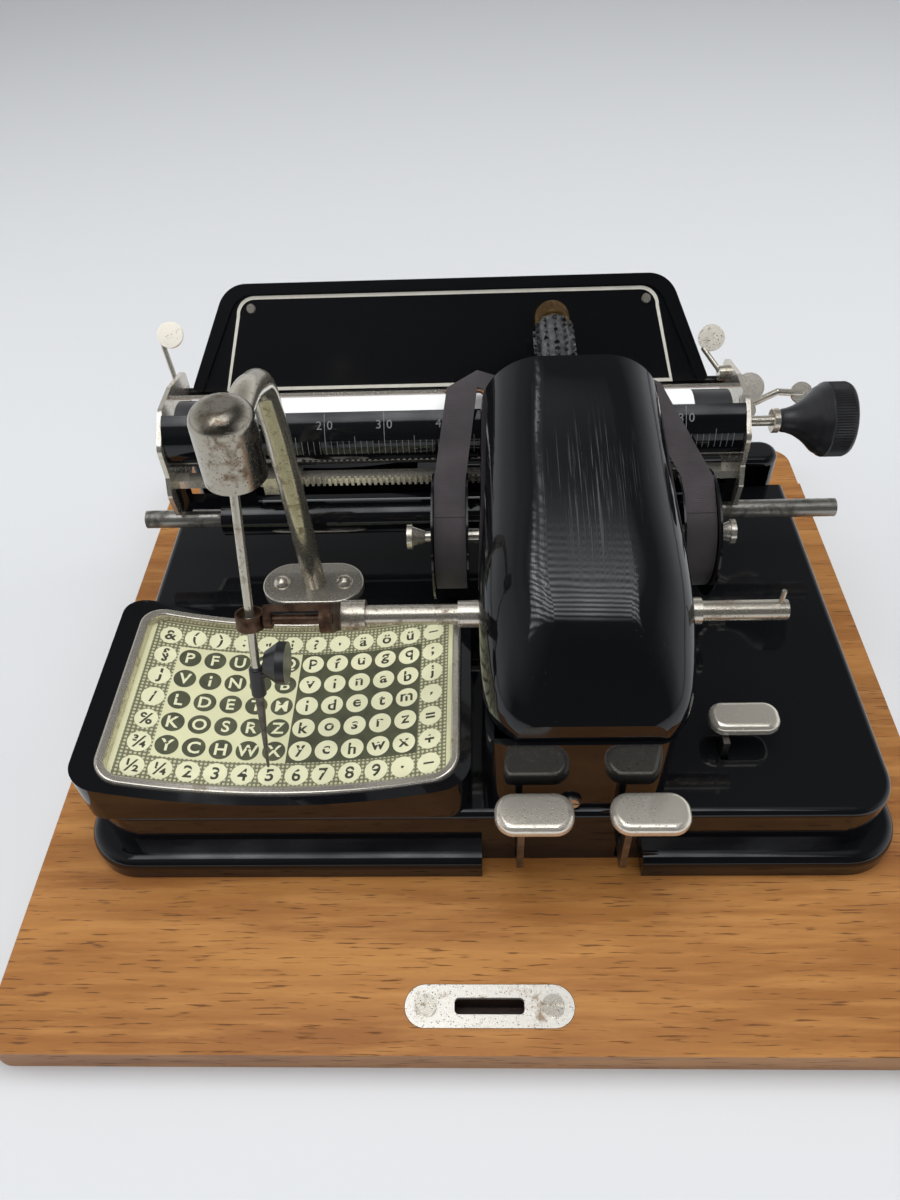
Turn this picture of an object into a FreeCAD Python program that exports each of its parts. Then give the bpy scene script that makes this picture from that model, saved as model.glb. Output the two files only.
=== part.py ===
import FreeCAD, Part
import math
import os
import re
from FreeCAD import Placement, Rotation, Vector

# An index typewriter on its oak board: a pointer picks a character on a chart, a shaft turns and
# shifts a type cylinder, and a key swings the cylinder down on the platen of a sliding carriage.
# Frame: origin at the centre of the board's underside, X right, Y back, Z up, millimetres.
# Heights whose alias ends in _up are measured from the top of the board.

SIZES = {
    "board_thick": 13.3, "board_wide": 361, "board_front": 168, "board_seam": 135.8,
    "batten_deep": 32.2, "batten_wide": 359, "board_round": 8, "batten_round": 12,
    "over": 1, "slack": 0.3, "running": 0.06, "tiny": 0.008,

    "platen_up": 98, "shaft_drop": 8, "shaft_up": "=platen_up - shaft_drop", "spool_drop": 22,
    "spool_up": "=platen_up - spool_drop", "sleeve_drop": 38, "sleeve_up": "=platen_up - sleeve_drop",
    "bar_drop": 18.4, "bar_low_up": "=platen_up - bar_drop", "table_drop": 2,
    "table_up": "=platen_up - table_drop", "tower_drop": 24, "tower_up": "=platen_up - tower_drop",
    "hood_drop": 23, "hood_low_up": "=platen_up - hood_drop", "pivot_rise": 68,
    "pivot_up": "=platen_up + pivot_rise", "dome_low_rise": 56.5,
    "dome_low_up": "=platen_up + dome_low_rise", "guide_rise": 23,
    "guide_up": "=platen_up + guide_rise", "dip_rise": 14.45,
    "ribbon_dip_up": "=platen_up + dip_rise",

    "latch_long": 60.5, "latch_deep": 15, "latch_thick": 1.6, "latch_y": 151.3,
    "latch_slot_long": 25, "latch_slot_deep": 5.8, "latch_bolt_deep": 10,
    "latch_screw_gap": 45.5, "latch_screw_round": 3.95, "screw_rise": 0.9, "screw_shank": 1.7,
    "screw_long": 9, "screw_slot": 0.9,

    "base_wide": 308, "base_front": 94.2, "base_back": 111, "deck_up": 33.2, "wall": 4,
    "base_round": 18, "deck_round": 3, "foot_wide": 322, "foot_front": 102, "foot_back": 117,
    "foot_up": 11, "foot_round": 22, "foot_edge": 5, "step_front": 95, "step_up": 50,
    "step_round": 8, "step_inset": 5,
    "notch_left": -2, "notch_right": 60,

    "tray_left": -154, "tray_right": -5.5, "tray_back": 1.5, "tray_round": 10,
    "card_x": -78, "card_y": -46.25, "card_wide": 137, "card_deep": 87.5, "card_round": 10,
    "card_up": 38, "card_curve": 210, "tray_blank": 24, "card_thick": 0.8, "rim_wide": 3.5, "rim_rise": 1.3,
    "tray_rise": 3, "rim_edge": 0.9,

    "tower_wide": 67, "tower_front": 91, "tower_back": 6, "tower_round": 8,
    "tower_wall": 3, "tower_screw_x": 31, "tower_screw_up": 38.5, "tower_boss": 4.2,
    "lug_left": 4.2, "lug_right": 59.8, "lug_thick": 4, "lug_round": 8,

    "shaft_y": -44.1, "shaft_round": 3.8, "shaft_left": -52, "shaft_right": 109.5,
    "bush_round": 5, "bush_left_end": -9.4, "bush_right_end": 78.5, "collar_round": 5.8,
    "collar_long": 8.8, "pin_round": 0.9, "pin_x": 106.5, "pin_rise": 6,
    "rack_pitch_round": 3.2, "rack_groove": 1.9, "rack_left": -5, "rack_right": 66,
    "groove_wide": 0.95,
    "crank_reach": 21.8, "crank_lean": 45, "eye_x": -80.6, "eye_round": 5, "eye_bore": 4.2,
    "eye_tall": 5.5, "eye_pin_round": 1.8, "cheek_thick": 4, "cheek_wide": 5,
    "yoke_left": -75.4, "yoke_lug": 2.6, "yoke_bar": 2.4, "yoke_round": 3.2, "yoke_step": 0.6,
    "yoke_high": 3.6,

    "pivot_x": -78.2, "pivot_y": -42, "tip_hover": 4.4, "rod_round": 1.6, "rod_over": 3, "tip_taper": 30,
    "tip_end_round": 0.5, "grip_round": 2.7, "grip_long": 12.5, "grip_above_tip": 33.6,
    "button_round": 7.8, "button_neck": 4.2, "button_long": 8, "button_above_tip": 47.9,
    "button_off": 3.4, "lens_share": 0.6, "ball_round": 5, "bead_round": 2.2, "bead_drop": 63.1,
    "ring_round": 7.2, "ring_tall": 5, "trunnion_round": 1.2,
    "dome_round": 10.25, "dome_tall": 27, "dome_wall": 1.3,
    "dome_edge": 6,

    "flange_x": -79, "flange_y": 26, "flange_long": 47, "flange_deep": 26, "flange_thick": 4,
    "flange_screw_gap": 29.3, "dome_screw_round": 4, "dome_screw_rise": 3,
    "neck_round": 5, "neck_x": -78.2, "neck_low_y": 16, "neck_low_drop": 38, "neck_mid_y": 9,
    "neck_mid_drop": 9, "neck_top_y": -12, "neck_low_bend": 60, "neck_mid_bend": 16,
    "neck_top_bend": 30,

    "sleeve_y": 46, "sleeve_round": 8, "sleeve_left": -119, "sleeve_right": 89,
    "rail_round": 4.1, "rail_left": -155.5, "rail_right": 159, "sleeve_gap": 5,
    "rail_web_left": 10, "rail_web_right": 50, "rail_web_thick": 3.6,
    "plate_left": -139, "plate_right": 111, "plate_thick": 2, "plate_clear": 6,
    "plate_lead": 4, "plate_sole": 10, "plate_waist": 12, "plate_drop": 8, "plate_tail": 5,
    "plate_crown": 15, "plate_lip": 2, "plate_nose": 6, "plate_round": 3, "plate_bend": 4,
    "plate_arch": 5,
    "platen_y": 60, "platen_round": 14, "platen_left": -132,
    "platen_right": 106, "axle_round": 2.25, "axle_left": -141,
    "knob_near": 129, "knob_far": 158, "knob_round": 16, "knob_neck": 4.5, "knob_rim": 10,
    "knob_edge": 3, "knob_waist_share": 0.3, "knob_waist_round": 5.6,
    "knob_swell_share": 0.65, "knob_swell_round": 9.9, "feed_round": 5, "feed_axle": 1.5, "feed_y": 67, "feed_gap": 0.4,
    "scale_gap": 0.6, "scale_thick": 0.8, "scale_top": 25, "scale_low": 125,
    "scale_inset": 1.5, "scale_lug": 3,
    "bar_y": 44, "bar_deep": 6, "bar_tall": 4, "bar_pitch": 2.54,
    "tooth_tall": 1.5, "tooth_left": -120, "tooth_right": 96,
    "bail_lean": 40, "bail_off": 15.5, "bail_wide": 4.7, "bail_thick": 1.4,
    "paper_left": -92, "paper_right": 90, "paper_thick": 0.25, "paper_back": 95,
    "table_off": 1, "table_x": "=(plate_left + plate_right)/2 - table_off", "table_y": 95.8,
    "table_rod_y": 94.5, "table_rod_round": 2.5, "table_tall": 47, "table_lean": 31,
    "table_clear": 6, "table_low_half": "=(plate_right - plate_left)/2 - table_clear",
    "table_taper": 20, "table_top_half": "=table_low_half - table_taper",
    "table_thick": 1.4, "table_round": 14,
    "table_corner": 2, "table_lip": 7, "table_lip_wide": 4.6, "table_lip_rise": 1.4,
    "stop_x": -88, "stop_wide": 17, "stop_deep": 9, "stop_tall": 9, "stop_lead": 2.4,
    "stop_window": 6.8, "stop_window_off": 1.7,
    "arm_pivot_y": 91, "arm_pivot_rise": 4.5, "arm_pivot_up": "=platen_up + arm_pivot_rise", "arm_pad": 6, "arm_thick": 1.2, "arm_wide": 3,
    "arm_hub": 3.4, "arm_pad_y": 104,
    "pad_half_share": 0.5, "left_pad_clear": 18, "left_pad_rise": 23,
    "left_pad_x": "=table_x - table_low_half + table_taper*pad_half_share - left_pad_clear",
    "left_pad_up": "=platen_up + left_pad_rise", "right_pad_clear": 11.5, "right_pad_rise": 14.7,
    "right_pad_x": "=table_x + table_low_half - table_taper*pad_half_share + right_pad_clear",
    "right_pad_up": "=platen_up + right_pad_rise",
    "release_y": 72, "release_drop": 12, "big_pad": 6.4, "big_pad_x": 119.8, "big_pad_y": 80,
    "big_pad_rise": 3.8, "small_pad": 4.2, "small_pad_x": 117.4, "small_pad_y": 70.5,
    "small_pad_drop": 1.8,
    "line_y": 86, "line_drop": 15, "line_hub": 4, "line_elbow_x": 135.6, "line_elbow_y": 87,
    "line_elbow_drop": 3.5, "line_end_x": 147.2, "line_end_y": 89.2, "line_end_drop": 6,
    "line_round": 1.6, "line_spoon": 5,

    "hood_left": -3, "hood_right": 76, "hood_thick": 1.6, "hood_taper": 3, "hood_back": 43,
    "hood_front": 89.4, "hood_crown": 68, "hood_pinch": 14, "hood_round": 24,
    "hood_arch_share": 0.8, "relief": 3.4, "relief_tall": 45, "relief_wide": 24,
    "relief_in": 15,

    "type_x": 31.5, "strike_lean": 4, "spindle_rise": 31.8, "type_round": 8.2,
    "letter_rise": 0.6, "letter_wide": 2.6, "letter_tall": 2.6, "row_pitch": 4.25,
    "letter_rows": 7, "letter_lanes": 12,
    "type_front": 99.5, "type_long": 30.5, "spindle_round": 2.2, "spindle_front": 55,
    "flange_round": 4, "flange_wide": 1, "flange_gap": 2, "type_knob_round": 7.4, "type_knob_edge": 4,
    "type_knob_long": 11, "type_ring_round": 6.2, "type_ring_long": 3,
    "cheek_left": 12, "cheek_right": 50, "cheek_plate": 3, "hub_round": 7, "hub_gap": 0.1,
    "wall_front": 10, "wall_front_deep": 5, "wall_front_tall": 11.2, "wall_rear": 56, "wall_rear_deep": 8,
    "lay_pitch": 11.4, "gear_front_wide": 6, "gear_rear_wide": 3, "gear_rear_y": 65.2,
    "lay_round": 2.5, "lay_teeth": 38, "lay_rear_pitch": 9.08, "pinion_pitch": 8.12,
    "lay_rear_teeth": 38, "pinion_teeth": 34, "gear_slack": 0.25,
    "tooth_rise_share": 0.3, "tooth_fall_share": 0.38, "tooth_root_share": 0.22,
    "tooth_tip_share": 0.1, "rack_foot_share": 0.3, "rack_tip_share": 0.14,
    "rack_tooth_share": 0.5, "rack_sink": 0.1, "rack_teeth": 10,
    "shift_teeth": 32, "shift_pitch": 16.06, "shift_x": 45.2, "shift_wide": 2.6,
    "shift_hub": 6, "rail_below": 3.3, "rail_tall": 3, "rack_body": 4, "rack_lead": 5,
    "riser_y": 47, "riser_deep": 5, "fork_side": 6, "window_gap": 1,
    "key_sleeve_round": 5.6, "key_sleeve_left": 66, "key_sleeve_right": 70,

    "print_x": 17, "space_x": 58.2, "print_stem": 12.5, "space_stem": 51.6, "cap_y": -101.5,
    "cap_wide": 28.5, "cap_deep": 16, "cap_thick": 6.2, "cap_low_up": 43, "cap_edge": 2.6,
    "stem_thick": 2.5, "stem_deep": 5, "stem_y": -103.4, "lever_low_up": 9, "lever_tall": 7,
    "key_axle_y": 25, "key_axle_up": 14, "key_axle_round": 2, "key_slot_low": 1.5,
    "key_slot_tall": 17, "lever_tail": 40, "lever_round": 1, "boss_round": 4.5,
    "back_x": 100, "back_y": -59, "back_stem": 92.5, "back_stem_y": -66, "back_cap_wide": 27,
    "back_cap_deep": 13.5, "back_low_up": 41, "back_slot_deep": 9,

    "spool_y": 13.4, "spool_round": 26.5, "spool_flange": 0.8,
    "spool_left_x": -20.4, "spool_right_x": 78.6, "spool_wide": 14.8, "roll_round": 22,
    "core_round": 6, "spindle_pin": 3, "nut_long": 11, "nut_round": 5.2, "nut_neck": 2.2,
    "nut_root": 2.4, "nut_flare": 4.4, "nut_neck_share": 0.3, "nut_flare_share": 0.5,
    "nut_rim_share": 0.8,
    "guide_y": 54, "guide_wire": 0.8, "guide_bend_y": 8, "guide_bend_drop": 20,
    "guide_foot_y": 2, "guide_bend": 3, "guide_turn": 4, "ribbon_wide": 12.7,
    "ribbon_thick": 0.2, "ribbon_flat": 6, "ribbon_rise": 1.4, "ribbon_straight": 15,
    "guide_left_x": -15, "guide_right_x": 75.2,
}

doc = FreeCAD.newDocument("index_typewriter")
sheet = doc.addObject("Spreadsheet::Sheet", "Dims")
for row, (alias, value) in enumerate(SIZES.items(), start=1):
    cell = "A%d" % row
    sheet.set(cell, str(value))
    sheet.setAlias(cell, alias)
doc.recompute()


class Sizes:
    """The sheet's values, for the shapes that are computed here."""

    def __getattr__(self, alias):
        return float(sheet.get(alias))


d = Sizes()
NODES = []
ALONG = {"x": Rotation(Vector(0, 1, 0), 90), "y": Rotation(Vector(1, 0, 0), -90), "z": Rotation()}


def formula(text):
    return re.sub(r"[a-z][a-z_0-9]*", lambda word: word.group(0) if word.group(0) in
                  ("cos", "sin", "tan", "deg", "pi") else "Dims." + word.group(0), text)


def bind(obj, prop, text):
    obj.setExpression(prop, formula(text))


def place(obj, at):
    for axis, text in zip("xyz", at):
        bind(obj, "Placement.Base." + axis, text)
    return obj


def box(size, at):
    obj = doc.addObject("Part::Box", "block")
    for prop, text in zip(("Length", "Width", "Height"), size):
        bind(obj, prop, text)
    return place(obj, at)


def bar(radius, length, at, along="z"):
    obj = doc.addObject("Part::Cylinder", "round")
    bind(obj, "Radius", radius)
    bind(obj, "Height", length)
    obj.Placement = Placement(Vector(), ALONG[along])
    return place(obj, at)


def cone(radius_a, radius_b, length, at, along="z"):
    obj = doc.addObject("Part::Cone", "cone")
    bind(obj, "Radius1", radius_a)
    bind(obj, "Radius2", radius_b)
    bind(obj, "Height", length)
    obj.Placement = Placement(Vector(), ALONG[along])
    return place(obj, at)


def ball(radius, at):
    obj = doc.addObject("Part::Sphere", "ball")
    bind(obj, "Radius", radius)
    return place(obj, at)


def fuse(*parts):
    obj = doc.addObject("Part::MultiFuse", "joined")
    obj.Shapes = list(parts)
    return obj


def cut(base, *tools):
    obj = doc.addObject("Part::Cut", "cut")
    obj.Base = base
    obj.Tool = tools[0] if len(tools) == 1 else fuse(*tools)
    return obj


def common(*parts):
    obj = doc.addObject("Part::MultiCommon", "shared")
    obj.Shapes = list(parts)
    return obj


def group(*parts):
    obj = doc.addObject("Part::Compound", "set")
    obj.Links = list(parts)
    return obj


def shaped(shape, name="form"):
    obj = doc.addObject("Part::Feature", name)
    obj.Shape = shape
    return obj


def soften(base, radius, wanted):
    """Rounds the edges that wanted(edge) picks on a finished shape."""
    doc.recompute()
    obj = doc.addObject("Part::Fillet", "softened")
    obj.Base = base
    obj.Edges = [(i, radius, radius) for i, e in enumerate(base.Shape.Edges, 1) if wanted(e)]
    return obj


def node(obj, label):
    obj.Label = label
    NODES.append(obj)
    return obj


def upright(edge):
    ends = [v.Point for v in edge.Vertexes]
    return len(ends) == 2 and (ends[0] - ends[1]).cross(Vector(0, 0, 1)).Length < d.slack


def at_height(height):
    return lambda edge: (abs(edge.BoundBox.ZMin - height) < d.slack
                         and abs(edge.BoundBox.ZMax - height) < d.slack)


def outline(points):
    """Lines and arcs through corner points (a, b, radius) in one plane, closed."""
    curves, ends = [], []
    for i, (a, b, radius) in enumerate(points):
        here = Vector(a, b, 0)
        before = Vector(*points[i - 1][:2], 0) - here
        after = Vector(*points[(i + 1) % len(points)][:2], 0) - here
        half = before.getAngle(after) / 2
        if radius <= 0:
            ends.append((here, here, None))
            continue
        reach = radius / math.tan(half)
        first = here + before.normalize() * reach
        last = here + after.normalize() * reach
        centre = here + (before + after).normalize() * (radius / math.sin(half))
        middle = centre + (here - centre).normalize() * radius
        ends.append((first, last, middle))
    for i, (first, last, middle) in enumerate(ends):
        if middle is not None:
            curves.append(Part.Arc(first, middle, last))
        onward = ends[(i + 1) % len(ends)][0]
        if (onward - last).Length > d.tiny:
            curves.append(Part.LineSegment(last, onward))
    return curves


def padded(role, points, length, at=("0", "0", "0"), holes=()):
    """A PartDesign body: a closed sketch on an origin plane, padded away from it."""
    body = doc.addObject("PartDesign::Body", "body")
    sketch = body.newObject("Sketcher::SketchObject", "outline")
    plane = [f for f in body.Origin.OriginFeatures if f.Role == role][0]
    sketch.AttachmentSupport = [(plane, "")]
    sketch.MapMode = "FlatFace"
    sketch.addGeometry(outline(points), False)
    for a, b, radius in holes:
        sketch.addGeometry(Part.Circle(Vector(a, b, 0), Vector(0, 0, 1), radius), False)
    pad = body.newObject("PartDesign::Pad", "pad")
    pad.Profile = sketch
    bind(pad, "Length", length)
    body.Tip = pad
    place(body, at)
    return body


def slab(left, right, front, back, radius):
    """Corner points of a rectangle with one radius all round."""
    return [(left, front, radius), (right, front, radius), (right, back, radius), (left, back, radius)]


def gear_points(teeth, pitch_radius, slack):
    """Trapezoid teeth round a pitch circle."""
    pitch = 2 * math.pi * pitch_radius / teeth
    rise, fall = d.tooth_rise_share * pitch, d.tooth_fall_share * pitch
    points = []
    for i in range(teeth):
        centre = 2 * math.pi * i / teeth
        foot = d.tooth_root_share * 2 * math.pi / teeth
        tip = d.tooth_tip_share * 2 * math.pi / teeth
        for radius, offset in ((pitch_radius - fall, -foot), (pitch_radius + rise - slack, -tip),
                               (pitch_radius + rise - slack, tip), (pitch_radius - fall, foot)):
            points.append(Vector(radius * math.cos(centre + offset), radius * math.sin(centre + offset), 0))
    return points


def gear(teeth, pitch_radius, width, turn, slack):
    """A toothed wheel along Y, from y 0 to its width, a tooth at turn from straight up."""
    points = gear_points(int(teeth), pitch_radius, slack)
    wheel = Part.Face(Part.makePolygon(points + points[:1])).extrude(Vector(0, 0, width))
    wheel.rotate(Vector(), Vector(0, 0, 1), turn)
    wheel.rotate(Vector(), Vector(1, 0, 0), -90)
    return wheel


def round_bar(radius, start, end):
    return Part.makeCylinder(radius, (end - start).Length, start, end - start)


def tube_path(points, radii):
    """Straight runs joined by tangent arcs, as one wire."""
    corners = [Vector(*p) for p in points]
    edges, start = [], corners[0]
    for here, onward, radius in zip(corners[1:-1], corners[2:], radii):
        back = (start - here).normalize()
        ahead = (onward - here).normalize()
        half = back.getAngle(ahead) / 2
        reach = radius / math.tan(half)
        first, last = here + back * reach, here + ahead * reach
        centre = here + (back + ahead).normalize() * (radius / math.sin(half))
        middle = centre + (here - centre).normalize() * radius
        edges.append(Part.LineSegment(start, first).toShape())
        edges.append(Part.Arc(first, middle, last).toShape())
        start = last
    edges.append(Part.LineSegment(start, corners[-1]).toShape())
    return Part.Wire(edges)


def tube(points, radii, radius):
    path = tube_path(points, radii)
    first = path.Edges[0]
    ring = Part.Wire([Part.Circle(first.firstVertex().Point, first.tangentAt(first.FirstParameter),
                                  radius).toShape()])
    return path.makePipeShell([ring], True, False)


TOP = "board_thick"
top = d.board_thick


# Oak board in two planks, the rear one across the end, with the latch plate let into the front.
def make_board():
    plank = soften(box(("board_wide", "board_front + board_seam", TOP), ("-board_wide/2", "-board_front", "0")),
                   d.board_round, lambda e: upright(e) and e.BoundBox.YMax < 0)
    pocket = box(("latch_long + slack", "latch_deep + slack", "latch_thick"),
                 ("-latch_long/2 - slack/2", "-latch_y - latch_deep/2 - slack/2", TOP + " - latch_thick"))
    pocket = soften(pocket, d.latch_deep / 2, upright)
    slot = box(("latch_slot_long", "latch_slot_deep", "latch_bolt_deep"),
               ("-latch_slot_long/2", "-latch_y - latch_slot_deep/2", TOP + " - latch_bolt_deep"))
    holes = [bar("screw_shank", "screw_long + over", ("%s*latch_screw_gap/2" % side, "-latch_y",
                                                      TOP + " - screw_long")) for side in ("-1", "1")]
    batten = soften(box(("batten_wide", "batten_deep", TOP), ("-batten_wide/2", "board_seam", "0")),
                    d.batten_round, lambda e: upright(e) and e.BoundBox.YMin > d.board_seam + d.over)
    node(group(cut(plank, pocket, slot, *holes), batten), "oak_board")

    plate = soften(box(("latch_long", "latch_deep", "latch_thick"),
                       ("-latch_long/2", "-latch_y - latch_deep/2", TOP + " - latch_thick")),
                   d.latch_deep / 2 - d.running, upright)
    slot = box(("latch_slot_long", "latch_slot_deep", "latch_thick + 2*over"),
               ("-latch_slot_long/2", "-latch_y - latch_slot_deep/2", TOP + " - latch_thick - over"))
    slot = soften(slot, d.screw_shank, upright)
    holes = [bar("screw_shank", "latch_thick + 2*over",
                 ("%s*latch_screw_gap/2" % side, "-latch_y", TOP + " - latch_thick - over")) for side in ("-1", "1")]
    node(cut(plate, slot, *holes), "latch_plate")


def slotted_screw(x, y, z, head_round, rise, shank_long, domed=False):
    """A screw standing on a face at z, its slot across the head."""
    shank = Part.makeCylinder(d.screw_shank, shank_long, Vector(x, y, z - shank_long))
    if domed:
        sphere = (head_round ** 2 + rise ** 2) / (2 * rise)
        head = Part.makeSphere(sphere, Vector(x, y, z + rise - sphere))
        head = head.common(Part.makeCylinder(head_round, rise, Vector(x, y, z)))
    else:
        head = Part.makeCylinder(head_round, rise, Vector(x, y, z))
    slot = Part.makeBox(2 * head_round + d.over, d.screw_slot, rise,
                        Vector(x - head_round - d.over / 2, y - d.screw_slot / 2, z + rise - d.screw_slot))
    return shank.fuse(head).cut(slot).removeSplitter()


def make_screws():
    latch = [slotted_screw(side * d.latch_screw_gap / 2, -d.latch_y, top, d.latch_screw_round, d.screw_rise,
                           d.screw_long) for side in (-1, 1)]
    flange_top = top + d.deck_up + d.flange_thick
    domed = [slotted_screw(d.flange_x + side * d.flange_screw_gap / 2, d.flange_y, flange_top,
                           d.dome_screw_round, d.dome_screw_rise, d.flange_thick + d.wall, True)
             for side in (-1, 1)]
    tower = slotted_screw(0, 0, 0, d.tower_boss - d.over, d.screw_rise, d.tower_wall)
    tower.Placement = Placement(Vector(d.tower_screw_x, -d.tower_front - d.over, top + d.tower_screw_up),
                                Rotation(Vector(1, 0, 0), 90))
    node(shaped(Part.makeCompound(latch + domed + [tower])), "frame_screws")


# The base: a hollow cast box on a rounded foot, with the raised chart tray at its front left,
# a step behind, slots for the key levers and a web that holds the carriage rail.
def tray_outline(inset, low, high):
    points = slab(d.card_x - d.card_wide / 2 + inset, d.card_x + d.card_wide / 2 - inset,
                  d.card_y - d.card_deep / 2 + inset, d.card_y + d.card_deep / 2 - inset,
                  d.card_round - inset)
    face = Part.Face(Part.Wire([c.toShape() for c in outline(points)]))
    face.translate(Vector(0, 0, low))
    return face.extrude(Vector(0, 0, high - low))


def card_tube(radius):
    """A long cylinder along Y whose lowest line is the chart's middle, at that radius."""
    length = d.board_front * 2
    return Part.makeCylinder(radius, length, Vector(d.card_x, -d.board_front, top + d.card_up + d.card_curve),
                             Vector(0, 1, 0))


def make_base():
    foot = soften(box(("foot_wide", "foot_front + foot_back", "foot_up"), ("-foot_wide/2", "-foot_front", TOP)),
                  d.foot_round, upright)
    foot = soften(foot, d.foot_edge, at_height(top + d.foot_up))
    walls = soften(box(("base_wide", "base_front + step_front", "deck_up"), ("-base_wide/2", "-base_front", TOP)),
                   d.base_round, lambda e: upright(e) and e.BoundBox.YMax < 0)
    walls = soften(walls, d.deck_round, lambda e: at_height(top + d.deck_up)(e) and e.BoundBox.YMin < 0)
    step = soften(box(("base_wide - 2*step_inset", "base_back - step_front + over", "step_up"),
                      ("-base_wide/2 + step_inset", "step_front - over", TOP)), d.step_round, upright)
    step = soften(step, d.deck_round, at_height(top + d.step_up))
    notch = box(("notch_right - notch_left", "foot_front", "foot_up + over"),
                ("notch_left", "-foot_front - base_front", TOP))
    inner_low = soften(box(("base_wide - 2*wall", "base_front + step_front - wall", "deck_up - wall"),
                           ("-base_wide/2 + wall", "-base_front + wall", TOP)), d.base_round - d.wall, upright)
    inner_step = box(("base_wide - 2*wall - 2*step_inset", "base_back - step_front - wall", "step_up - wall"),
                     ("-base_wide/2 + wall + step_inset", "step_front - over", TOP))
    tray = soften(box(("tray_right - tray_left", "base_front + tray_back", "card_up + tray_blank - deck_up"),
                      ("tray_left", "-base_front", TOP + " + deck_up - over")), d.tray_round, upright)
    bowl = shaped(card_tube(d.card_curve - d.tray_rise), "bowl")
    pocket = shaped(tray_outline(0, top + d.deck_up, top + d.card_up + d.card_curve)
                    .common(card_tube(d.card_curve + d.card_thick)), "pocket")
    web = box(("rail_web_right - rail_web_left", "rail_web_thick", "sleeve_up - deck_up"),
              ("rail_web_left", "sleeve_y - rail_web_thick/2", TOP + " + deck_up - over"))
    rail_hole = bar("rail_round", "rail_web_right - rail_web_left + 2*over",
                    ("rail_web_left - over", "sleeve_y", TOP + " + sleeve_up"), "x")
    slots = [box(("stem_thick + 2*slack", "wall + foot_front - base_front + 2*over", "key_slot_tall"),
                 (stem + " - stem_thick/2 - slack", "-foot_front - over", TOP + " + key_slot_low"))
             for stem in ("print_stem", "space_stem")]
    slots.append(box(("stem_thick + 2*slack", "back_slot_deep", "wall + 2*over"),
                     ("back_stem - stem_thick/2 - slack", "back_stem_y - back_slot_deep/2",
                      TOP + " + deck_up - wall - over")))
    well = box(("tower_wide - 2*tower_wall", "tower_front - tower_back - 2*tower_wall", "wall + 2*over"),
               ("tower_wall", "-tower_front + tower_wall", TOP + " + deck_up - wall - over"))
    screw_holes = [bar("screw_shank", "wall + over", ("flange_x + %s*flange_screw_gap/2" % side, "flange_y",
                                                      TOP + " + deck_up - wall")) for side in ("-1", "1")]
    ears = [cut(box(("wall", "2*boss_round", "deck_up - wall + over"), (x, "key_axle_y - boss_round", TOP)),
                bar("key_axle_round", "wall + 2*over", (x + " - over", "key_axle_y", TOP + " + key_axle_up"), "x"))
            for x in ("notch_left", "back_stem + 2*wall")]
    shell = cut(fuse(foot, walls, step, tray), notch, inner_low, inner_step, bowl, pocket, well, *slots, *screw_holes)
    node(fuse(shell, cut(web, rail_hole), *ears), "base_casting")
    node(bar("key_axle_round", "back_stem + 3*wall - notch_left", ("notch_left", "key_axle_y", TOP + " + key_axle_up"),
             "x"), "key_axle")


# The chart card lies in the tray, bent to the pointer's swing, under a half-round bright rim.
def make_card():
    card = tray_outline(d.running, top + d.deck_up, top + d.card_up + d.card_curve)
    card = card.common(card_tube(d.card_curve + d.card_thick)).cut(card_tube(d.card_curve))
    node(shaped(card), "index_card")
    rim = tray_outline(d.running, top + d.deck_up, top + d.card_up + d.card_curve)
    rim = rim.cut(tray_outline(d.rim_wide, top, top + d.card_up + d.card_curve))
    rim = rim.common(card_tube(d.card_curve)).cut(card_tube(d.card_curve - d.tray_rise - d.rim_rise))
    upper = [e for e in rim.Edges if all(
        abs(math.hypot(v.X - d.card_x, v.Z - top - d.card_up - d.card_curve)
            - d.card_curve + d.tray_rise + d.rim_rise) < d.running for v in e.Vertexes)
        and e.BoundBox.DiagonalLength > d.rim_wide]
    node(shaped(rim.makeFillet(d.rim_edge, upper)), "card_rim")


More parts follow.
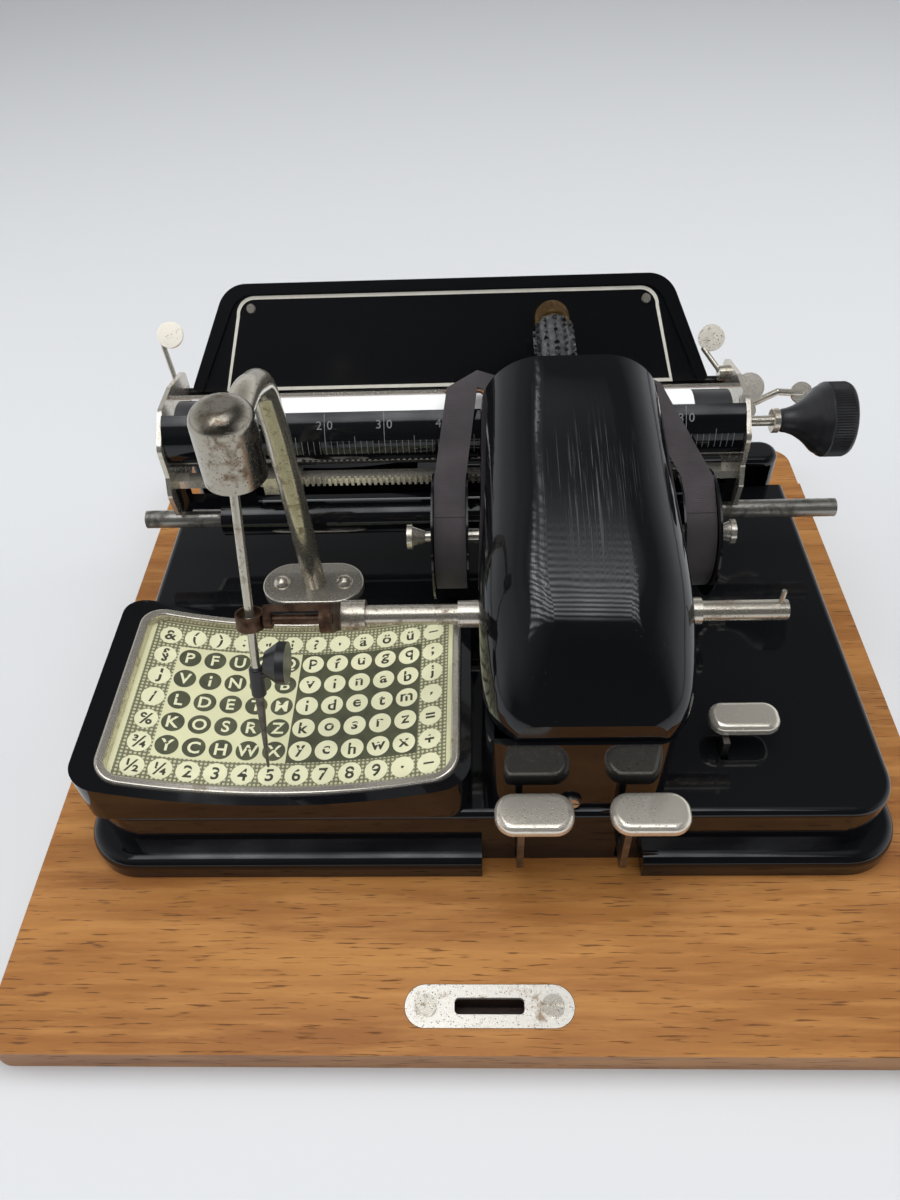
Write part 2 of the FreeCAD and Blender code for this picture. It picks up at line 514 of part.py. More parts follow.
# The tower: an open casting that carries the selector shaft and the spool spindles.
def make_tower():
    outer = soften(box(("tower_wide", "tower_front - tower_back", "tower_up - deck_up"),
                       ("0", "-tower_front", TOP + " + deck_up")), d.tower_round, lambda e: upright(e) and
                   e.BoundBox.YMax < -d.tower_back - d.over)
    inner = box(("tower_wide - 2*tower_wall", "tower_front - tower_back - 2*tower_wall", "tower_up"),
                ("tower_wall", "-tower_front + tower_wall", TOP + " + deck_up - over"))
    boss = bar("tower_boss", "over + tower_wall/2", ("tower_screw_x", "-tower_front - over",
                                                     TOP + " + tower_screw_up"), "y")
    parts = [cut(outer, inner), boss]
    for left in ("lug_left", "lug_right"):
        points = [(-d.tower_front + d.tower_round * 3, top + d.tower_up - d.lug_thick, 0),
                  (d.shaft_y - d.lug_round, top + d.shaft_up, 0),
                  (d.shaft_y - d.lug_round, top + d.shaft_up + d.lug_round, d.lug_round),
                  (d.shaft_y + d.lug_round, top + d.shaft_up + d.lug_round, d.lug_round),
                  (d.spool_y - d.lug_round, top + d.spool_up + d.lug_round, 0),
                  (d.spool_y + d.lug_round, top + d.spool_up + d.lug_round, d.lug_round),
                  (d.spool_y + d.lug_round, top + d.spool_up - d.lug_round, d.lug_round),
                  (-d.tower_back - d.tower_wall, top + d.deck_up + d.wall, 0),
                  (-d.tower_back - d.tower_wall, top + d.tower_up - d.lug_thick, 0)]
        lug = padded("YZ_Plane", points, "lug_thick", (left, "0", "0"))
        bore = bar("bush_round", "lug_thick + 2*over", (left + " - over", "shaft_y", TOP + " + shaft_up"), "x")
        seat = bar("spindle_pin", "lug_thick + 2*over", (left + " - over", "spool_y", TOP + " + spool_up"), "x")
        parts.append(cut(lug, bore, seat))
    hole = bar("screw_shank", "2*tower_wall + 2*over",
               ("tower_screw_x", "-tower_front - 2*over", TOP + " + tower_screw_up"), "y")
    window = box(("shift_wide + 4*window_gap", "tower_wall + 2*over", "tower_round"),
                 ("shift_x - 2*window_gap", "-tower_back - tower_wall - over", TOP + " + tower_up - tower_round"))
    node(cut(fuse(*parts), hole, window), "tower_block")


# Gooseneck: oval flange, bent tube and the cup that holds the pointer's swivel.
def make_gooseneck():
    flange_low = TOP + " + deck_up"
    plate = soften(box(("flange_long", "flange_deep", "flange_thick"),
                       ("flange_x - flange_long/2", "flange_y - flange_deep/2", flange_low)),
                   d.flange_deep / 2 - d.running, upright)
    plate = soften(plate, d.screw_slot, at_height(top + d.deck_up + d.flange_thick))
    holes = [bar("screw_shank", "flange_thick + 2*over", ("flange_x + %s*flange_screw_gap/2" % side,
                                                          "flange_y", flange_low + " - over"))
             for side in ("-1", "1")]
    node(cut(plate, *holes), "gooseneck_flange")
    x = d.neck_x
    low = top + d.deck_up + d.flange_thick
    level_z = top + d.pivot_up
    route = [(x, d.flange_y, low - d.over), (x, d.neck_low_y, level_z - d.neck_low_drop),
             (x, d.neck_mid_y, level_z - d.neck_mid_drop), (x, d.neck_top_y, level_z),
             (x, d.pivot_y + d.dome_round - d.dome_wall / 2, level_z)]
    neck = tube(route, [d.neck_low_bend, d.neck_mid_bend, d.neck_top_bend], d.neck_round)
    neck = neck.cut(Part.makeBox(d.flange_long, d.flange_long, d.flange_thick,
                                 Vector(x - d.flange_long / 2, d.flange_y - d.flange_long / 2, low - d.flange_thick)))
    node(shaped(neck), "gooseneck_tube")
    outer = bar("dome_round", "dome_tall", ("pivot_x", "pivot_y", TOP + " + dome_low_up"))
    outer = soften(outer, d.dome_edge, at_height(top + d.dome_low_up + d.dome_tall))
    inner = bar("dome_round - dome_wall", "dome_tall - dome_wall + over",
                ("pivot_x", "pivot_y", TOP + " + dome_low_up - over"))
    inner = soften(inner, d.dome_edge - d.dome_wall,
                   at_height(top + d.dome_low_up + d.dome_tall - d.dome_wall))
    entry = shaped(Part.makeCylinder(d.neck_round, d.dome_round, Vector(x, d.pivot_y + d.dome_round - d.dome_wall / 2,
                                                                        top + d.pivot_up), Vector(0, 1, 0)), "entry")
    node(cut(cut(outer, inner), entry), "pointer_dome")


# The pointer hangs from the pivot: everything is built down the local -Z axis, then turned.
def pointer_placement():
    pivot = Vector(d.pivot_x, d.pivot_y, top + d.pivot_up)
    through = crank_tip() - pivot
    tip = pivot + through * ((top + d.card_up - pivot.z) / through.z)
    return pivot, tip, Placement(pivot, Rotation(Vector(0, 0, -1), tip - pivot))


def make_pointer():
    pivot, tip, hung = pointer_placement()
    length = (tip - pivot).Length - d.tip_hover
    ring = Part.makeCylinder(d.ring_round, d.ring_tall, Vector(0, 0, -d.ring_tall / 2))
    ring = ring.cut(Part.makeSphere(d.ball_round + d.running))
    reach = d.dome_round - d.dome_wall - d.slack
    for side in (-1, 1):
        ring = ring.fuse(round_bar(d.trunnion_round, Vector(0, side * (d.ball_round + d.over), 0),
                                   Vector(0, side * reach, 0)))
    ring.translate(pivot)
    node(shaped(ring), "swivel_ring")
    bead = Part.makeSphere(d.ball_round).cut(Part.makeCylinder(d.rod_round + d.running, d.ball_round * 4,
                                                              Vector(0, 0, -d.ball_round * 2)))
    bead.Placement = hung
    node(shaped(bead), "swivel_ball")
    grip_top = -length + d.grip_above_tip + d.grip_long
    rod = Part.makeCylinder(d.rod_round, d.rod_over - grip_top, Vector(0, 0, grip_top))
    rod = rod.fuse(Part.makeSphere(d.bead_round, Vector(0, 0, -d.bead_drop))).removeSplitter()
    rod.Placement = hung
    node(shaped(rod), "pointer_rod")
    button_z = -length + d.button_above_tip
    grip = Part.makeCylinder(d.grip_round, d.grip_long, Vector(0, 0, -length + d.grip_above_tip))
    grip = grip.makeFillet(d.over, grip.Edges[:1] + grip.Edges[2:])
    neck = round_bar(d.button_neck / 2, Vector(0, 0, grip_top - d.grip_round),
                     Vector(d.button_off + d.over, 0, button_z - d.button_round / 2))
    swell = d.button_long * d.lens_share
    lens = Part.makeCone(d.button_neck, d.button_round, swell, Vector(d.button_off, 0, button_z), Vector(1, 0, 0))
    lens = lens.fuse(Part.makeCylinder(d.button_round, d.button_long - swell,
                                       Vector(d.button_off + swell, 0, button_z), Vector(1, 0, 0)))
    stem = Part.makeCylinder(d.rod_round, d.button_round * 4, Vector(0, 0, grip_top))
    button = grip.fuse(neck).fuse(lens).cut(stem).removeSplitter()
    button.Placement = hung
    node(shaped(button), "pointer_button")
    needle = Part.makeCone(d.tip_end_round, d.rod_round, d.tip_taper, Vector(0, 0, -length))
    needle = needle.fuse(Part.makeCylinder(d.rod_round, d.grip_above_tip - d.tip_taper,
                                           Vector(0, 0, -length + d.tip_taper))).removeSplitter()
    needle.Placement = hung
    node(shaped(needle), "pointer_tip")


# The selector shaft slides and turns; grooves along it drive the type cylinder's gearing.
def crank_tip():
    lean = math.radians(d.crank_lean)
    return Vector(d.eye_x, d.shaft_y - d.crank_reach * math.cos(lean),
                  top + d.shaft_up + d.crank_reach * math.sin(lean))


def make_selector():
    axis_z = top + d.shaft_up
    shaft = Part.makeCylinder(d.shaft_round, d.shaft_right - d.shaft_left, Vector(d.shaft_left, d.shaft_y, axis_z),
                              Vector(1, 0, 0))
    collar = Part.makeCylinder(d.collar_round, d.collar_long, Vector(d.shaft_left, d.shaft_y, axis_z), Vector(1, 0, 0))
    pitch = 2 * math.pi * d.lay_pitch / d.lay_teeth
    count = int((d.rack_right - d.rack_left) / pitch / 2)
    rings = []
    for i in range(-count, count + 1):
        start = Vector(0, 0, -d.groove_wide / 2)
        groove = Part.makeCylinder(d.shaft_round + d.over, d.groove_wide, start)
        groove = groove.cut(Part.makeCylinder(d.rack_groove, d.groove_wide, start))
        groove.Placement = Placement(Vector(d.type_x + i * pitch, d.shaft_y, axis_z), Rotation(Vector(0, 1, 0), 90))
        rings.append(groove)
    pin = Part.makeCylinder(d.pin_round, d.shaft_round + d.pin_rise, Vector(d.pin_x, d.shaft_y, axis_z))
    shaft = shaft.cut(Part.makeCompound(rings)).fuse([collar, pin]).removeSplitter()
    node(shaped(shaft), "selector_shaft")

    tip = crank_tip()
    axis = Vector(tip.x, d.shaft_y, axis_z)
    lean = Rotation(Vector(1, 0, 0), d.crank_lean)
    cheek_x = d.shaft_left - d.cheek_thick
    cheek = Part.makeCylinder(d.cheek_wide, d.cheek_thick, Vector(cheek_x, 0, 0), Vector(1, 0, 0))
    cheek = cheek.fuse(Part.makeBox(d.cheek_thick, 2 * d.cheek_wide, d.crank_reach, Vector(cheek_x, -d.cheek_wide, 0)))
    lug = Part.makeCylinder(d.yoke_round, d.yoke_lug, Vector(d.yoke_left, 0, d.crank_reach), Vector(1, 0, 0))
    head = Part.makeCylinder(d.cheek_wide, d.cheek_thick, Vector(cheek_x, 0, d.crank_reach), Vector(1, 0, 0))
    behind, tall = d.eye_pin_round + d.over, d.yoke_high - d.yoke_step
    bridge = Part.makeBox(cheek_x + d.cheek_thick - d.yoke_left, d.yoke_bar, tall,
                          Vector(d.yoke_left, behind, d.crank_reach + d.yoke_step))
    bridge = bridge.fuse(Part.makeBox(d.yoke_lug, behind + d.yoke_bar, tall,
                                      Vector(d.yoke_left, 0, d.crank_reach + d.yoke_step)))
    bore = Part.makeCylinder(d.eye_pin_round + d.running, d.shaft_left - d.yoke_left + 2 * d.over,
                             Vector(d.yoke_left - d.over, 0, d.crank_reach), Vector(1, 0, 0))
    yoke = cheek.fuse([lug, head, bridge]).cut(bore).removeSplitter()
    yoke.Placement = Placement(Vector(0, d.shaft_y, axis_z), lean)
    node(shaped(yoke), "crank_yoke")

    cup = Part.makeCylinder(d.eye_round, d.eye_tall, Vector(0, 0, -d.eye_tall / 2))
    stub = Part.makeCylinder(d.eye_pin_round, d.shaft_left - d.slack - d.eye_x, Vector(), Vector(1, 0, 0))
    cup = cup.fuse(stub).cut(Part.makeCylinder(d.eye_bore, d.eye_tall + 2 * d.over,
                                               Vector(0, 0, -d.eye_tall / 2 - d.over))).removeSplitter()
    pivot, end, hung = pointer_placement()
    tilt = math.degrees(math.atan2(end.y - pivot.y, pivot.z - end.z))
    cup.Placement = Placement(tip, Rotation(Vector(1, 0, 0), tilt))
    node(shaped(cup), "eye_cup")

    bushes = []
    for start, end_x in ((d.bush_left_end, d.lug_left + d.lug_thick), (d.lug_right, d.key_sleeve_left),
                         (d.key_sleeve_right, d.bush_right_end)):
        hollow = Part.makeCylinder(d.bush_round, end_x - start, Vector(start, d.shaft_y, axis_z), Vector(1, 0, 0))
        bushes.append(hollow.cut(Part.makeCylinder(d.shaft_round + d.running, end_x - start,
                                                   Vector(start, d.shaft_y, axis_z), Vector(1, 0, 0))))
    node(shaped(Part.makeCompound(bushes)), "shaft_bushes")
    sleeve = Part.makeCylinder(d.key_sleeve_round, d.key_sleeve_right - d.key_sleeve_left - 2 * d.running,
                               Vector(d.key_sleeve_left + d.running, d.shaft_y, axis_z), Vector(1, 0, 0))
    sleeve = sleeve.cut(Part.makeCylinder(d.shaft_round + d.running, d.lug_thick * 2,
                                          Vector(d.key_sleeve_left, d.shaft_y, axis_z), Vector(1, 0, 0)))
    node(shaped(sleeve), "key_sleeve")


# The type arm swings about the selector shaft. Its parts are built level, as they stand when
# the type strikes, measured from the shaft's axis, and then tipped back to rest.
def level(shape, label):
    shape.Placement = Placement(Vector(0, d.shaft_y, top + d.shaft_up),
                                Rotation(Vector(1, 0, 0), d.strike_lean)).multiply(shape.Placement)
    return node(shaped(shape), label)


def make_type_arm():
    hub, plate = d.hub_round, d.cheek_plate
    high = d.spindle_rise + 2 * d.spindle_round
    side = [(-hub, -hub, hub - d.running), (hub, -hub, hub - d.running),
            (d.wall_rear + d.wall_rear_deep, high - 2 * hub, 0), (d.wall_rear + d.wall_rear_deep, high, 0),
            (d.wall_front + d.wall_front_deep, d.lay_pitch + hub, 0), (-hub, d.lay_pitch + hub, hub - d.over)]
    face = Part.Face(Part.Wire([c.toShape() for c in outline(side)]))
    face.rotate(Vector(), Vector(1, 0, 0), 90)
    face.rotate(Vector(), Vector(0, 0, 1), 90)
    parts = []
    for x in (d.cheek_left, d.cheek_right):
        cheek = face.extrude(Vector(plate, 0, 0))
        cheek.translate(Vector(x, 0, 0))
        parts.append(cheek.cut(Part.makeCylinder(d.shaft_round + d.hub_gap, plate + 2 * d.over,
                                                 Vector(x - d.over, 0, 0), Vector(1, 0, 0))))
    wide = d.cheek_right - d.cheek_left
    lay_z = d.rack_pitch_round + d.lay_pitch
    for start, deep, low, tall, across in (
            (d.wall_front, d.wall_front_deep, lay_z - d.hub_round, d.wall_front_tall,
             d.shift_x - d.cheek_left - plate),
            (d.wall_rear, d.wall_rear_deep, lay_z - d.hub_round / 2, high - lay_z + d.hub_round / 2, wide)):
        parts.append(Part.makeBox(across, deep, tall, Vector(d.cheek_left + plate / 2, start, low)))
    arm = parts[0].fuse(parts[1:])
    arm = arm.cut(Part.makeCylinder(d.lay_round + d.running, d.gear_rear_y, Vector(d.type_x, 0, lay_z),
                                    Vector(0, 1, 0)))
    arm = arm.cut(Part.makeCylinder(d.spindle_round + d.running, d.gear_rear_y * 2,
                                    Vector(d.type_x, 0, d.spindle_rise), Vector(0, 1, 0)))
    arm = arm.cut(Part.makeBox(d.shift_wide + 2 * d.window_gap, d.wall_rear_deep + 2 * d.over,
                               d.rail_tall + 2 * d.window_gap,
                               Vector(d.shift_x - d.window_gap, d.wall_rear - d.over,
                                      d.spindle_rise - d.rail_below - d.window_gap)))
    level(arm.removeSplitter(), "type_arm")

    front = gear(d.lay_teeth, d.lay_pitch, d.gear_front_wide, 90 + 180, d.gear_slack)
    front.translate(Vector(0, -d.gear_front_wide / 2, 0))
    rear = gear(d.lay_rear_teeth, d.lay_rear_pitch, d.gear_rear_wide, 90, d.gear_slack)
    rear.translate(Vector(0, d.gear_rear_y, 0))
    lay = Part.makeCylinder(d.lay_round, d.gear_rear_y + d.gear_front_wide / 2 + d.gear_rear_wide,
                            Vector(0, -d.gear_front_wide / 2, 0), Vector(0, 1, 0))
    lay = front.fuse([rear, lay]).removeSplitter()
    lay.translate(Vector(d.type_x, 0, lay_z))
    level(lay, "lay_shaft")

    half_tooth = 180.0 / d.pinion_teeth
    pinion = gear(d.pinion_teeth, d.pinion_pitch, d.gear_rear_wide, 90 + 180 + half_tooth, d.gear_slack)
    pinion = pinion.cut(Part.makeCylinder(d.spindle_round + d.running, d.gear_rear_wide, Vector(), Vector(0, 1, 0)))
    pinion.translate(Vector(d.type_x, d.gear_rear_y, d.spindle_rise))
    level(pinion, "type_pinion")


def make_type_cylinder():
    axis = Vector(d.type_x, 0, d.spindle_rise)
    front = d.type_front
    spindle = Part.makeCylinder(d.spindle_round, front - d.spindle_front, Vector(0, d.spindle_front, 0),
                                Vector(0, 1, 0))
    flange = Part.makeCylinder(d.flange_round, d.flange_wide,
                               Vector(0, front - d.flange_gap - d.flange_wide, 0), Vector(0, 1, 0))
    spindle = spindle.fuse(flange).removeSplitter()
    spindle.translate(axis)
    level(spindle, "type_spindle")
    body = Part.makeCylinder(d.type_round, d.type_long, Vector(0, front, 0), Vector(0, 1, 0))
    letters = []
    rows, lanes = int(d.letter_rows), int(d.letter_lanes)
    first = front + (d.type_long - (rows - 1) * d.row_pitch - d.letter_tall) / 2
    for row in range(rows):
        for lane in range(lanes):
            block = Part.makeBox(d.letter_wide, d.letter_tall, 2 * d.letter_rise,
                                 Vector(-d.letter_wide / 2, first + row * d.row_pitch, d.type_round - d.letter_rise))
            block.rotate(Vector(), Vector(0, 1, 0), 360 / lanes * lane)
            letters.append(block)
    sleeve = body.fuse(letters)
    sleeve.translate(axis)
    level(sleeve, "type_sleeve")
    rear = front + d.type_long
    ring = Part.makeCylinder(d.type_ring_round, d.type_ring_long, Vector(0, rear, 0), Vector(0, 1, 0))
    knob = Part.makeCylinder(d.type_knob_round, d.type_knob_long, Vector(0, rear + d.type_ring_long, 0),
                             Vector(0, 1, 0))
    rear_rim = max((e for e in knob.Edges if len(e.Vertexes) == 1), key=lambda e: e.CenterOfMass.y)
    knob = knob.makeFillet(d.type_knob_edge, [rear_rim])
    knob = knob.fuse(ring).removeSplitter()
    knob.translate(axis)
    level(knob, "type_knob")


# A wheel on the shaft's axis drives a toothed slide, whose fork shifts the type cylinder.
def make_shift():
    pitch = 2 * math.pi * d.shift_pitch / d.shift_teeth
    wheel = gear(d.shift_teeth, d.shift_pitch, d.shift_wide, 90, d.gear_slack)
    wheel.rotate(Vector(), Vector(0, 0, 1), -90)
    wheel = wheel.fuse(Part.makeCylinder(d.shift_hub, d.shift_wide, Vector(), Vector(1, 0, 0)))
    wheel = wheel.cut(Part.makeCylinder(d.shaft_round + d.hub_gap, d.shift_wide, Vector(), Vector(1, 0, 0)))
    wheel.translate(Vector(d.shift_x, 0, 0))
    level(wheel.removeSplitter(), "shift_wheel")

    fork_y = d.type_front - d.flange_gap + d.slack
    fork_thick = d.flange_gap - 2 * d.slack
    rack_top = -d.shift_pitch - d.tooth_rise_share * pitch
    rack = Part.makeBox(d.shift_wide, d.riser_y + d.riser_deep + d.rack_lead, d.rack_body,
                        Vector(d.shift_x, -d.rack_lead, rack_top - d.rack_body))
    teeth = []
    foot, tip = d.rack_foot_share * pitch, d.rack_tip_share * pitch
    low, high = rack_top - d.rack_sink, rack_top + d.rack_tooth_share * pitch
    for i in range(-1, int(d.rack_teeth)):
        centre = (2 * i + 1) * pitch / 2
        points = [(centre - foot, low), (centre - tip, high), (centre + tip, high), (centre + foot, low)]
        tooth = Part.Face(Part.makePolygon([Vector(d.shift_x, a, b) for a, b in points + points[:1]]))
        teeth.append(tooth.extrude(Vector(d.shift_wide, 0, 0)))
    rail_z = d.spindle_rise - d.rail_below
    riser = Part.makeBox(d.shift_wide, d.riser_deep, rail_z + d.rail_tall - rack_top + d.rack_body,
                         Vector(d.shift_x, d.riser_y, rack_top - d.rack_body))
    rail = Part.makeBox(d.shift_wide, fork_y + fork_thick - d.riser_y, d.rail_tall,
                        Vector(d.shift_x, d.riser_y, rail_z))
    fork = Part.makeBox(d.shift_x + d.shift_wide - d.type_x + d.fork_side, fork_thick,
                        d.rail_below + d.spindle_round, Vector(d.type_x - d.fork_side, fork_y, rail_z))
    fork = fork.cut(Part.makeCylinder(d.spindle_round + d.slack, fork_thick,
                                      Vector(d.type_x, fork_y, d.spindle_rise), Vector(0, 1, 0)))
    slide = rack.fuse(teeth + [riser, rail, fork]).removeSplitter()
    level(slide, "shift_slide")


# Hood: a lacquered cover, lofted through arched sections whose crown falls towards the front.
# Each section: its share of the way from back to front, of the crown's rise, and of the pinch.
HOOD_SHARES = [(0, 1, 0), (0.1737, 0.9147, 0), (0.4003, 0.8029, 0), (0.6269, 0.6838, 0),
               (0.7402, 0.5882, 0.0357), (0.8384, 0.4632, 0.1071), (0.9139, 0.3235, 0.2857),
               (0.9668, 0.2059, 0.5714), (1, 0.1103, 1)]


def hood_section(way, rise, narrow, inset, shift=0):
    y = d.hood_back - (d.hood_back + d.hood_front) * way
    left = d.hood_left + d.hood_taper * (1 - way) + d.hood_pinch * narrow + inset
    right = d.hood_right - (d.hood_taper + d.over) * (1 - way) - d.hood_pinch * narrow - inset
    low = top + d.hood_low_up - (d.over if inset else 0)
    high = top + d.hood_low_up + d.hood_crown * rise - inset
    radius = min(d.hood_round - inset, (high - low) * d.hood_arch_share)
    return Part.Wire([c.toShape() for c in outline_at(left, right, low, high, radius, y + shift)])


def outline_at(left, right, low, high, radius, y):
    a, b = Vector(left, y, low), Vector(left, y, high - radius)
    c, e = Vector(left + radius, y, high), Vector(right - radius, y, high)
    f, g = Vector(right, y, high - radius), Vector(right, y, low)
    slant = radius * (1 - math.sqrt(0.5))
    return [Part.LineSegment(a, b), Part.Arc(b, Vector(left + slant, y, high - slant), c), Part.LineSegment(c, e),
            Part.Arc(e, Vector(right - slant, y, high - slant), f), Part.LineSegment(f, g), Part.LineSegment(g, a)]


def make_hood():
    outer = Part.makeLoft([hood_section(*row, 0) for row in HOOD_SHARES], True, False)
    shifts = [d.over] + [0] * (len(HOOD_SHARES) - 2) + [d.hood_thick]
    inner = Part.makeLoft([hood_section(*row, d.hood_thick, shift) for row, shift in zip(HOOD_SHARES, shifts)],
                          True, False)
    low = top + d.hood_low_up - d.over
    notches = []
    for y, z, radius in ((d.shaft_y, top + d.shaft_up, d.bush_round + d.slack),
                         (d.spool_y, top + d.spool_up, d.spindle_pin + d.slack)):
        start = Vector(-d.board_wide / 2, y, z)
        notches.append(Part.makeCylinder(radius, d.board_wide, start, Vector(1, 0, 0)))
        notches.append(Part.makeBox(d.board_wide, 2 * radius, z - low, Vector(start.x, y - radius, low)))
    stop_front = d.bar_y - d.stop_lead - d.over
    notches.append(Part.makeBox(d.board_wide, d.hood_back + 2 * d.over - stop_front,
                                top + d.bar_low_up + d.stop_tall - low, Vector(-d.board_wide / 2, stop_front, low)))
    notches.append(Part.makeBox(d.relief_wide, d.hood_back - d.spool_y + 2 * d.relief, d.relief_tall,
                                Vector(d.hood_right - d.relief_in, d.spool_y - d.relief, low)))
    node(shaped(outer.cut([inner] + notches)), "hood")


# Carriage: sleeve on the rail, two side plates, toothed bar, scale, bail, paper table.
def make_carriage():
    axis_z = top + d.sleeve_up
    rail = bar("rail_round", "rail_right - rail_left", ("rail_left", "sleeve_y", TOP + " + sleeve_up"), "x")
    node(rail, "carriage_rail")
    sleeve = bar("sleeve_round", "sleeve_right - sleeve_left",
                 ("sleeve_left", "sleeve_y", TOP + " + sleeve_up"), "x")
    bore = bar("rail_round + running", "sleeve_right - sleeve_left + 2*over",
               ("sleeve_left - over", "sleeve_y", TOP + " + sleeve_up"), "x")
    gap = box(("sleeve_right - sleeve_left + 2*over", "sleeve_gap", "sleeve_round + over"),
              ("sleeve_left - over", "sleeve_y - sleeve_gap/2", TOP + " + sleeve_up - sleeve_round - over"))
    lugs = [box(("2*stop_tall", "bar_deep", "bar_low_up - sleeve_up"), (x, "bar_y", TOP + " + sleeve_up"))
            for x in ("sleeve_left", "sleeve_right - 2*stop_tall")]
    ears = [box(("stop_tall/2", "bar_deep", "bar_low_up - sleeve_up - plate_clear"),
                (x, "bar_y", TOP + " + sleeve_up + plate_clear"))
            for x in ("plate_left + plate_thick", "plate_right - stop_tall/2")]
    ties = [box(("sleeve_left - plate_left - plate_thick + over", "bar_deep", "bar_tall"),
                ("plate_left + plate_thick", "bar_y", TOP + " + bar_low_up - 3*bar_tall")),
            box(("plate_right - sleeve_right + over", "bar_deep", "bar_tall"),
                ("sleeve_right - over", "bar_y", TOP + " + bar_low_up - 3*bar_tall"))]
    node(cut(fuse(sleeve, *lugs, *ears, *ties), bore, gap), "carriage_sleeve")

    y, z = d.platen_y, top + d.platen_up
    sole = top + d.sleeve_up + d.plate_clear
    pivot_z, bar_z = top + d.arm_pivot_up, top + d.bar_low_up
    side = [(d.bar_y - d.plate_lead, sole, d.plate_round), (d.bar_y + d.plate_sole, sole, d.plate_round),
            (y + d.plate_waist, bar_z - d.plate_drop, d.plate_bend),
            (d.arm_pivot_y + d.plate_tail, pivot_z - d.plate_drop, d.plate_bend),
            (d.arm_pivot_y + d.plate_tail, pivot_z + d.plate_tail, d.plate_bend),
            (y + d.platen_round, z + d.plate_crown, d.plate_arch), (y - d.plate_lead, z + d.plate_crown, d.plate_arch),
            (d.bar_y - d.plate_lip, z + d.plate_lead, d.plate_arch),
            (d.bar_y - d.plate_lip, bar_z + d.plate_drop, d.plate_round),
            (d.bar_y - d.plate_nose, bar_z, d.plate_round)]
    holes = [(y, z, d.axle_round + d.running), (d.feed_y, feed_height(), d.feed_axle + d.running)]
    for left, label in (("plate_left", "left_side_plate"), ("plate_right", "right_side_plate")):
        node(padded("YZ_Plane", side, "plate_thick", (left, "0", "0"), holes), label)

    bar_solid = Part.makeBox(d.plate_right - d.plate_left - d.plate_thick, d.bar_deep, d.bar_tall,
                             Vector(d.plate_left + d.plate_thick, d.bar_y, top + d.bar_low_up))
    gaps = []
    for i in range(int((d.tooth_right - d.tooth_left) / d.bar_pitch)):
        gaps.append(Part.makeBox(d.bar_pitch / 2, d.tooth_tall + d.over, d.bar_tall + 2 * d.over,
                                 Vector(d.tooth_left + i * d.bar_pitch, d.bar_y - d.over,
                                        top + d.bar_low_up - d.over)))
    node(shaped(bar_solid.cut(Part.makeCompound(gaps))), "rack_bar")

    inner, outer = d.platen_round + d.scale_gap, d.platen_round + d.scale_gap + d.scale_thick
    left, long = d.plate_left + d.plate_thick, d.plate_right - d.plate_left - d.plate_thick
    scale = arc_shell(inner, outer, left, long, d.scale_top, d.scale_low)
    node(shaped(scale), "scale_plate")
    paper = arc_shell(d.platen_round + d.running, d.platen_round + d.running + d.paper_thick, d.paper_left,
                      d.paper_right - d.paper_left, -d.paper_back, 2 * d.scale_top)
    node(shaped(paper), "paper_sheet")
    bail = Part.makeBox(long, d.bail_wide, d.bail_thick, Vector(left, -d.bail_wide / 2, -d.bail_thick / 2))
    bail.Placement = Placement(Vector(0, y, z), Rotation(Vector(1, 0, 0), -d.bail_lean)).multiply(
        Placement(Vector(0, 0, d.bail_off), Rotation()))
    node(shaped(bail), "paper_bail")


def feed_height():
    gap = d.platen_round + d.feed_round + d.feed_gap
    return top + d.platen_up - math.sqrt(gap ** 2 - (d.feed_y - d.platen_y) ** 2)


def arc_shell(inner, outer, left, long, from_angle, to_angle):
    """A curved strip round the platen's axis; angles from straight up, more towards the front."""
    centre = Vector(0, d.platen_y, top + d.platen_up)
    points = []
    for radius, angles in ((inner, (from_angle, to_angle)), (outer, (to_angle, from_angle))):
        middle = (from_angle + to_angle) / 2
        for angle in (angles[0], middle, angles[1]):
            turn = math.radians(angle)
            points.append(centre + Vector(0, -radius * math.sin(turn), radius * math.cos(turn)))
    wire = Part.Wire([Part.Arc(*points[0:3]).toShape(), Part.LineSegment(points[2], points[3]).toShape(),
                      Part.Arc(*points[3:6]).toShape(), Part.LineSegment(points[5], points[0]).toShape()])
    strip = Part.Face(wire).extrude(Vector(long, 0, 0))
    strip.translate(Vector(left, 0, 0))
    return strip


